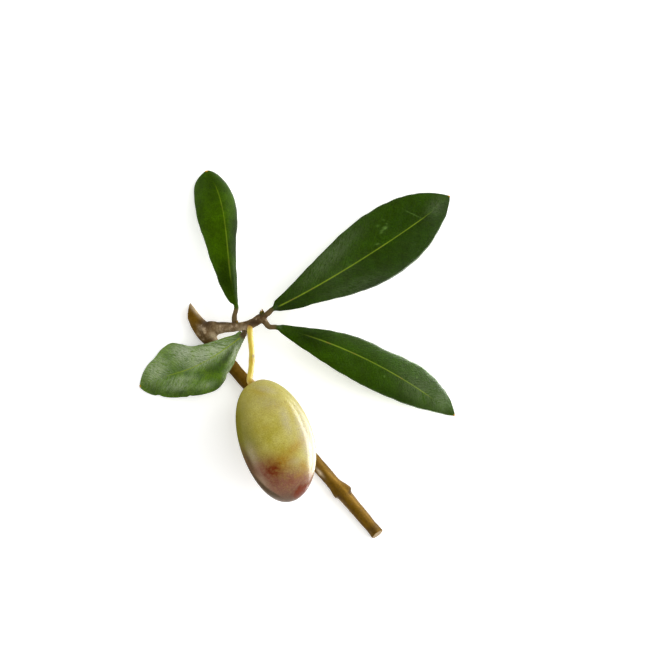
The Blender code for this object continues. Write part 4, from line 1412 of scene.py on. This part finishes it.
def olive_skin_points(look):
    """Points over the olive in rings from the pit to the far end, and faces."""
    first, second, centre = pit_frame()
    floor, out = pit_seat()
    shares = np.arange(1, OLIVE_RINGS) / OLIVE_RINGS
    polar = math.pi * shares ** OLIVE_CROWDING
    turns = full_turn(OLIVE_SIDES)
    ways = np.cos(turns)[:, None] * first + np.sin(turns)[:, None] * second
    directions = (np.cos(polar)[:, None, None] * centre + np.sin(polar)[:, None, None] * ways).reshape(-1, 3)
    depth = np.repeat(PIT_DEPTH * np.exp(-(polar / PIT_SPREAD) ** 2), OLIVE_SIDES)
    skin = olive_points(directions) - depth[:, None] * out
    outward = unit_each(skin - np.asarray(OLIVE_MIDDLE))
    waves = noise_at(skin, DENT_SIZE, 5) + FINE_DENT_SHARE * noise_at(skin, FINE_DENT_SIZE, 6)
    dents = look.dimple / MM * waves
    skin = skin + outward * (dents - look.dimple / MM)[:, None]
    vertices = np.vstack([floor, skin, olive_points(-centre[None, :])[0]])
    last = len(vertices) - 1
    low = 1 + (OLIVE_RINGS - 2) * OLIVE_SIDES
    faces = []
    for k in range(OLIVE_SIDES):
        right = (k + 1) % OLIVE_SIDES
        faces.append((0, 1 + k, 1 + right))
        faces.append((last, low + right, low + k))
        for i in range(OLIVE_RINGS - 2):
            upper, lower = 1 + i * OLIVE_SIDES, 1 + (i + 1) * OLIVE_SIDES
            faces.append((upper + k, lower + k, lower + right, upper + right))
    return vertices, faces


# Stains on the olive's upper side, by the colour they bring
AMBER_STAINS = (Mark(-3.4, -25.4, 3.1, 2.1, 0.64, 0.9), Mark(-0.6, -22.6, 3.2, 1.3, 0.75, 0.7),
                Mark(1.9, -26.9, 1.6, 0.9, -1.2, 0.7), Mark(0.9, -29.0, 1.5, 0.6, 0.5, 0.4),
                Mark(-5.8, -26.0, 1.8, 1.2, 0.1, 0.45))
RUST_STAINS = (Mark(-6.0, -27.8, 2.6, 2.2, 0.3, 0.9), Mark(-5.6, -30.2, 1.7, 1.7, 0.0, 0.45),
               Mark(1.15, -33.3, 2.0, 1.15, 0.75, 2.0), Mark(-1.4, -30.6, 0.7, 0.9, 0.2, 0.4),
               Mark(-2.9, -29.4, 0.5, 0.5, 0.0, 0.35))
# Painted shade on the lower left flank
FLANK_SHADE_STAINS = (Mark(-11.6, -26.2, 3.8, 0.8, -1.11, 0.85), Mark(-9.9, -28.2, 1.6, 0.6, -1.0, 0.4))
STRAW_STAINS = (Mark(-9.4, -8.9, 2.4, 0.9, -0.35, 0.8), Mark(-5.2, -12.4, 1.9, 0.9, 0.3, 0.6),
                Mark(-1.3, -13.6, 0.7, 2.2, 0.35, 0.6), Mark(-7.6, -17.6, 1.6, 0.7, 0.2, 0.35))
# Thicker bloom of wax in patches, and a painted highlight down the right rim
BLOOM_AND_HIGHLIGHT_STAINS = (Mark(-7.2, -8.4, 2.9, 1.0, -0.3, 0.55), Mark(-2.6, -15.5, 1.3, 4.2, 0.35, 0.6),
                Mark(-10.9, -24.3, 1.2, 3.0, 0.35, 0.5), Mark(-0.6, -25.6, 2.4, 0.8, 0.1, 0.45),
                Mark(-8.6, -30.8, 1.5, 2.8, 0.45, 0.4), Mark(-6.0, -11.6, 4.0, 2.0, -0.3, 0.4),
                Mark(2.6, -20.5, 1.8, 8.0, 0.30, 1.0))


def olive_tints(vertices):
    """How much of each colour a point of the olive has: ripening colours, painted shade on the left flank, and
    a painted highlight down the right rim.
    """
    right, toward, length = olive_axes()
    local = vertices - np.asarray(OLIVE_MIDDLE)
    lengthwise = local @ length / OLIVE_HALF_LENGTH
    sideways = local @ right / OLIVE_HALF_BREADTH
    height = local @ toward / OLIVE_HALF_BREADTH
    upward = fade(height, -0.3, 0.3)
    uneven = noise_at(vertices, 4.5, 7)
    # Ripening starts at the far end and climbs further on the left
    ripe = fade(-lengthwise - 0.32 * sideways + 0.14 * uneven, 0.12, 0.62)
    dusk = fade(-lengthwise + 0.05 * sideways + 0.05 * uneven, 0.72, 1.0)
    # Painted shade: the left flank is laid darker and greener, partly the skin's own colour
    shaded = fade(-sideways + 0.15 * uneven, 0.15, 0.9)
    # The lower left flank is darkest: painted shade and a painted dark reflection with a sharper edge, over
    # skin that is partly ripe and brown
    round_share = -sideways / np.sqrt(np.maximum(1 - lengthwise ** 2, 0.01))
    flank = fade(round_share - 0.3 * lengthwise + 0.06 * uneven, 0.94, 1.04) * fade(-lengthwise, -0.15, 0.15)
    # It fades beneath and towards the very end
    flank = flank * fade(height + 0.25 * uneven, -0.6, 0.15)
    flank = flank * (1 - fade(-lengthwise + 0.05 * uneven, 0.84, 0.97))
    flank = np.maximum(flank, stain(vertices, FLANK_SHADE_STAINS) * upward)
    stains = {"amber": AMBER_STAINS, "rust": RUST_STAINS, "straw": STRAW_STAINS, "bloom": BLOOM_AND_HIGHLIGHT_STAINS}
    tints = {label: stain(vertices, marks) * upward for label, marks in stains.items()}
    # The rust is broken into flecks 0.9 mm across
    tints["rust"] = tints["rust"] * np.clip(1 + 0.8 * noise_at(vertices, 0.9, 12), 0.2, 1.8)
    return {"ripe": ripe, "dusk": dusk, "shaded": shaded, "flank": flank, **tints}


def olive_skin(look):
    """Ripening olive skin under a thin bloom of wax: it softens the colour and gives a broad satin light."""
    material, tree, shader = new_material("ripening_olive_skin")
    value = {label: add_node(tree, "ShaderNodeAttribute", attribute_name=label).outputs["Fac"]
             for label in ("ripe", "dusk", "shaded", "flank", "amber", "rust", "straw", "bloom")}
    place = add_node(tree, "ShaderNodeTexCoord").outputs["Object"]
    # Clouds of thicker bloom 4 mm across, and mottling 0.6 mm across
    clouds = add_node(tree, "ShaderNodeTexNoise", {"Vector": place, "Scale": per_metre(4.0), "Detail": 4.0,
                                                   "Roughness": 0.6})
    mottle = add_node(tree, "ShaderNodeTexNoise", {"Vector": place, "Scale": per_metre(0.6), "Detail": 3.0})
    # Cells of the skin are 0.03 mm, drawn 0.25 mm across so that they show
    grain = add_node(tree, "ShaderNodeTexNoise", {"Vector": place, "Scale": per_metre(0.25), "Detail": 2.0})
    unripe = add_node(tree, "ShaderNodeValToRGB", {"Fac": clouds.outputs["Fac"]},
                      stops=((0.36, look.olive), (0.64, look.straw)))
    edge = add_node(tree, "ShaderNodeMath", {0: mottle.outputs["Fac"], 1: 0.5},
                    operation="SUBTRACT").outputs[0]
    colour = unripe.outputs["Color"]
    # Each tint covers the ones before it where its value says, and the mottling breaks its edge
    for label, tint, breakup in (("shaded", look.green, 0.4), ("straw", look.amber_light, 1.2),
                                 ("ripe", look.blush, 1.0), ("bloom", look.bloom, 1.5),
                                 ("amber", look.amber, 1.5), ("dusk", look.dusk, 0.6),
                                 ("rust", look.rust, 1.5), ("flank", look.flank, 0.9)):
        broken = add_node(tree, "ShaderNodeMath", {0: value[label], 1: breakup}, operation="MULTIPLY")
        share = add_node(tree, "ShaderNodeMath", {0: edge, 1: broken.outputs[0], 2: value[label]},
                         operation="MULTIPLY_ADD", use_clamp=True).outputs[0]
        colour = add_node(tree, "ShaderNodeMix", {MIX_SHARE: share, MIX_FIRST: colour, MIX_SECOND: tint},
                          data_type="RGBA").outputs[MIX_RESULT]
    speckle = add_node(tree, "ShaderNodeMapRange", {"Value": grain.outputs["Fac"], "From Min": 0.3,
                                                    "From Max": 0.7, "To Min": 0.82, "To Max": 1.18})
    speckled = add_node(tree, "ShaderNodeVectorMath", {0: colour, "Scale": speckle.outputs[0]},
                        operation="SCALE")
    # Reddish breathing pores, 0.2 mm across with a soft rim, and about 2.6 mm apart
    pores = add_node(tree, "ShaderNodeTexVoronoi", {"Vector": place, "Scale": per_metre(2.6)})
    dot = add_node(tree, "ShaderNodeMapRange", {"Value": pores.outputs["Distance"], "From Min": 0.04,
                                                "From Max": 0.09, "To Min": 0.45, "To Max": 0.0})
    dotted = add_node(tree, "ShaderNodeMix", {MIX_SHARE: dot.outputs[0], MIX_FIRST: speckled.outputs[0],
                                              MIX_SECOND: look.rust}, data_type="RGBA")
    tree.links.new(dotted.outputs[MIX_RESULT], shader.inputs["Base Color"])
    rough = add_node(tree, "ShaderNodeMapRange", {"Value": clouds.outputs["Fac"], "From Min": 0.3,
                                                  "From Max": 0.7, "To Min": 0.42, "To Max": 0.52})
    tree.links.new(rough.outputs[0], shader.inputs["Roughness"])
    shader.inputs["Specular IOR Level"].default_value = 0.03
    shader.inputs["Coat Weight"].default_value = 0.4
    shader.inputs["Coat Roughness"].default_value = 0.21
    shader.inputs["Coat IOR"].default_value = 1.3
    shader.inputs["Subsurface Weight"].default_value = 0.12
    shader.inputs["Subsurface Radius"].default_value = (1.0, 0.7, 0.25)
    shader.inputs["Subsurface Scale"].default_value = 1.5 * MM
    bumps = add_node(tree, "ShaderNodeBump", {"Strength": 0.15, "Distance": 0.05 * MM,
                                              "Height": mottle.outputs["Fac"]})
    tree.links.new(bumps.outputs["Normal"], shader.inputs["Normal"])
    return material


class OLIVE_OT_olive(bpy.types.Operator):
    """Builds the olive"""
    bl_idname = "olive.olive"
    bl_label = "Olive"

    def execute(self, context):
        look = context.scene.olive_fruit
        vertices, faces = olive_skin_points(look)
        add_piece("ripening_olive", vertices, faces, [olive_skin(look)], ["olive"],
                  olive_tints(vertices))
        return {"FINISHED"}


# How amber the stalk is at each share of its length
STALK_AMBER = ((0.0, 1.0), (0.05, 0.9), (0.11, 0.1), (0.5, 0.05), (0.57, 0.3), (0.64, 0.05), (0.86, 0.1),
               (1.0, 0.9))


def stalk_skin(look):
    """Fleshy fruit stalk: smooth moist skin, which gives it a soft gloss, yellow with amber joints."""
    material, tree, shader = new_material("fleshy_stalk_skin")
    value = {label: add_node(tree, "ShaderNodeAttribute", attribute_name=label).outputs["Fac"]
             for label in ("share", "scar")}
    place = add_node(tree, "ShaderNodeTexCoord").outputs["Object"]
    mottle = add_node(tree, "ShaderNodeTexNoise", {"Vector": place, "Scale": per_metre(0.8), "Detail": 3.0})
    joints = add_node(tree, "ShaderNodeValToRGB", {"Fac": value["share"]},
                      stops=[(place, grey(amber)) for place, amber in STALK_AMBER])
    patch = add_node(tree, "ShaderNodeMath", {0: mottle.outputs["Fac"], 1: 0.5, 2: joints.outputs["Color"]},
                     operation="MULTIPLY_ADD").outputs[0]
    amber = add_node(tree, "ShaderNodeMapRange", {"Value": patch, "From Min": 0.25, "From Max": 1.2})
    skin = add_node(tree, "ShaderNodeMix", {MIX_SHARE: amber.outputs[0], MIX_FIRST: look.stalk,
                                            MIX_SECOND: look.stalk_shade}, data_type="RGBA")
    scarred = add_node(tree, "ShaderNodeMix", {MIX_SHARE: value["scar"], MIX_FIRST: skin.outputs[MIX_RESULT],
                                               MIX_SECOND: look.stalk_scar}, data_type="RGBA")
    tree.links.new(scarred.outputs[MIX_RESULT], shader.inputs["Base Color"])
    shader.inputs["Roughness"].default_value = 0.42
    shader.inputs["Coat Weight"].default_value = 0.5
    shader.inputs["Coat Roughness"].default_value = 0.15
    shader.inputs["Coat IOR"].default_value = 1.4
    shader.inputs["Subsurface Weight"].default_value = 0.15
    shader.inputs["Subsurface Radius"].default_value = (1.0, 0.7, 0.3)
    shader.inputs["Subsurface Scale"].default_value = 0.5 * MM
    bumps = add_node(tree, "ShaderNodeBump", {"Strength": 0.3, "Distance": 0.05 * MM,
                                              "Height": mottle.outputs["Fac"]})
    tree.links.new(bumps.outputs["Normal"], shader.inputs["Normal"])
    return material


def stalk_line():
    """The stalk's middle line from inside the shoot to inside the olive, and its ways at both ends."""
    points, _, radii = shoot_at(np.array((STALK_SHARE,)))
    leave = unit(STALK_LEAVES)
    start = points[0] + leave * (radii[0] + STALK_CLEARANCE)
    floor, out = pit_seat()
    end = floor + GAP * out
    line = through([start, start + STALK_LEAD * leave, *STALK_LINE, end + STALK_ARRIVAL * out, end])
    line = np.vstack([start - (STALK_CLEARANCE + JOIN) * leave, line, end - (GAP + JOIN) * out])
    return line, leave, -out


class OLIVE_OT_stalk(bpy.types.Operator):
    """Builds the fruit stalk"""
    bl_idname = "olive.stalk"
    bl_label = "Fruit stalk"

    def execute(self, context):
        look = context.scene.olive_fruit
        line, leave, arrive = stalk_line()
        shares = np.linspace(0, 1, STALK_RINGS)
        points, tangents = at_shares(line, shares)
        tangents[0], tangents[-1] = leave, arrive
        radii = np.array([steps(STALK_RADII, share) for share in shares])
        rings = tube_rings(points, tangents, radii, STALK_SIDES)
        vertices, faces = skin_rings(rings)
        centres = np.repeat(points, STALK_SIDES, axis=0)
        outward = unit_each(vertices - centres)
        from_scar = np.linalg.norm(vertices - np.asarray(STALK_SCAR), axis=1)
        scar = np.exp(-(from_scar / STALK_SCAR_REACH) ** 2)
        folds = np.repeat(np.sin(shares * STALK_FOLD_TURNS) * fade(shares, *STALK_FOLDS_FROM), STALK_SIDES)
        waves = STALK_WAVE_HEIGHT * noise_at(vertices, STALK_WAVE_SIZE, 4)
        relief = waves + STALK_FOLD_HEIGHT * folds - STALK_SCAR_DEPTH * scar
        vertices = vertices + outward * relief[:, None]
        add_piece("fleshy_fruit_stalk", vertices, faces, [stalk_skin(look)], ["fruit_stalk"],
                  {"share": np.repeat(shares, STALK_SIDES), "scar": scar})
        return {"FINISHED"}


# Stage


def add_lamp(name, watts, size):
    """A rectangular area light at the origin."""
    data = bpy.data.lights.new(name, "AREA")
    data.energy = watts
    data.shape = "RECTANGLE"
    data.size, data.size_y = size
    lamp = bpy.data.objects.new(name, data)
    bpy.context.scene.collection.objects.link(lamp)
    return lamp


def add_sheet(name, corner, opposite, height, material):
    """A level rectangle between two corners."""
    (left, front), (right, back) = corner, opposite
    mesh = bpy.data.meshes.new(name)
    mesh.from_pydata([(left, front, height), (right, front, height), (right, back, height),
                      (left, back, height)], [], [(0, 1, 2, 3)])
    mesh.materials.append(material)
    sheet = bpy.data.objects.new(name, mesh)
    bpy.context.scene.collection.objects.link(sheet)
    return sheet


def lit_acrylic(look):
    """White acrylic sheet, matt, lit from below: an even white that glows a little."""
    material, _, shader = new_material("backlit_white_acrylic")
    shader.inputs["Base Color"].default_value = look.floor
    shader.inputs["Roughness"].default_value = 0.9
    shader.inputs["Emission Color"].default_value = look.floor
    shader.inputs["Emission Strength"].default_value = look.glow
    return material


def black_velvet():
    """Black velvet: its pile swallows the light, and leaves it without a sheen."""
    material, _, shader = new_material("black_velvet")
    shader.inputs["Base Color"].default_value = to_linear("#0c0c0c")
    shader.inputs["Roughness"].default_value = 1.0
    return material


def hang_softboxes(look):
    """Soft lights round the branch, each facing it."""
    for name, size, azimuth, zenith, distance, mirrored in SOFTBOXES:
        lamp = add_lamp(name + "_softbox", getattr(look, name), size)
        around, down = math.radians(azimuth), math.radians(zenith)
        way = Vector((math.sin(down) * math.cos(around), math.sin(down) * math.sin(around), math.cos(down)))
        lamp.location = Vector(LIT_PLACE) + distance * way
        lamp.rotation_euler = way.to_track_quat("Z", "Y").to_euler()
        lamp.visible_glossy = mirrored


def lay_strips(look):
    """Low strips beside the olive that shine upwards, and that only its reflections show."""
    for name, size, middle in STRIPS:
        strip = add_lamp(name + "_strip", getattr(look, name), size)
        strip.location = middle
        strip.rotation_euler = (math.pi, 0, 0)
        strip.visible_camera = False
        strip.visible_diffuse = False


def light_room():
    """The world's own light: white at the horizon and nearly black overhead."""
    world = bpy.data.worlds.new("studio")
    world.use_nodes = True
    bpy.context.scene.world = world
    tree = world.node_tree
    back = tree.nodes["Background"]
    way = add_node(tree, "ShaderNodeTexCoord").outputs["Generated"]
    height = add_node(tree, "ShaderNodeSeparateXYZ", {0: way}).outputs["Z"]
    glow = add_node(tree, "ShaderNodeValToRGB", {"Fac": height},
                    stops=[(place, grey(value)) for place, value in ROOM_GREYS])
    tree.links.new(glow.outputs["Color"], back.inputs["Color"])
    back.inputs["Strength"].default_value = ROOM_BRIGHTNESS


class OLIVE_OT_stage(bpy.types.Operator):
    """Lays the floor, hangs the lights and sets the camera"""
    bl_idname = "olive.stage"
    bl_label = "Stage"

    def execute(self, context):
        look = context.scene.olive_stage
        scene = context.scene
        floor = add_sheet("floor", (-FLOOR_REACH, -FLOOR_REACH), (FLOOR_REACH, FLOOR_REACH), 0,
                          lit_acrylic(look))
        floor.location.z = FLOOR_HEIGHT

        hang_softboxes(look)
        lay_strips(look)
        # A black flag on the olive's other side, which only reflections show too
        flag = add_sheet("black_flag", *FLAG_CORNERS, FLAG_HEIGHT, black_velvet())
        flag.visible_camera = False
        flag.visible_diffuse = False
        flag.visible_shadow = False
        light_room()

        camera = bpy.data.objects.new("camera", bpy.data.cameras.new("camera"))
        camera.location = CAMERA_PLACE
        camera.data.lens = look.lens / MM
        scene.collection.objects.link(camera)
        scene.camera = camera
        scene.view_settings.view_transform = "Standard"
        return {"FINISHED"}


class VIEW3D_PT_olive_branch(bpy.types.Panel):
    """Lists the operators and the values that they use"""
    bl_label = "Olive Branch"
    bl_space_type = "VIEW_3D"
    bl_region_type = "UI"
    bl_category = "Olive Branch"

    def draw(self, context):
        for operator in OPERATORS:
            self.layout.operator(operator.bl_idname)
        for label in LOOKS:
            box = self.layout.box()
            group = getattr(context.scene, label)
            for name in group.bl_rna.properties.keys()[2:]:
                box.prop(group, name)


OPERATORS = (OLIVE_OT_stem, OLIVE_OT_buds, OLIVE_OT_leaves, OLIVE_OT_stalk, OLIVE_OT_olive, OLIVE_OT_stage)
LOOKS = {"olive_leaf": LeafLook, "olive_wood": WoodLook, "olive_fruit": FruitLook, "olive_stage": StageLook}


def register():
    for group in (*LOOKS.values(), *OPERATORS, VIEW3D_PT_olive_branch):
        bpy.utils.register_class(group)
    for label, group in LOOKS.items():
        setattr(bpy.types.Scene, label, PointerProperty(type=group))


def unregister():
    for label in LOOKS:
        delattr(bpy.types.Scene, label)
    for group in reversed((*LOOKS.values(), *OPERATORS, VIEW3D_PT_olive_branch)):
        bpy.utils.unregister_class(group)


def main():
    for thing in [o for o in bpy.data.objects if o.name in ("Cube", "Light", "Camera")]:
        bpy.data.objects.remove(thing)
    register()
    bpy.ops.olive.stem()
    bpy.ops.olive.buds()
    bpy.ops.olive.leaves()
    bpy.ops.olive.stalk()
    bpy.ops.olive.olive()
    bpy.ops.olive.stage()


if __name__ == "__main__":
    main()
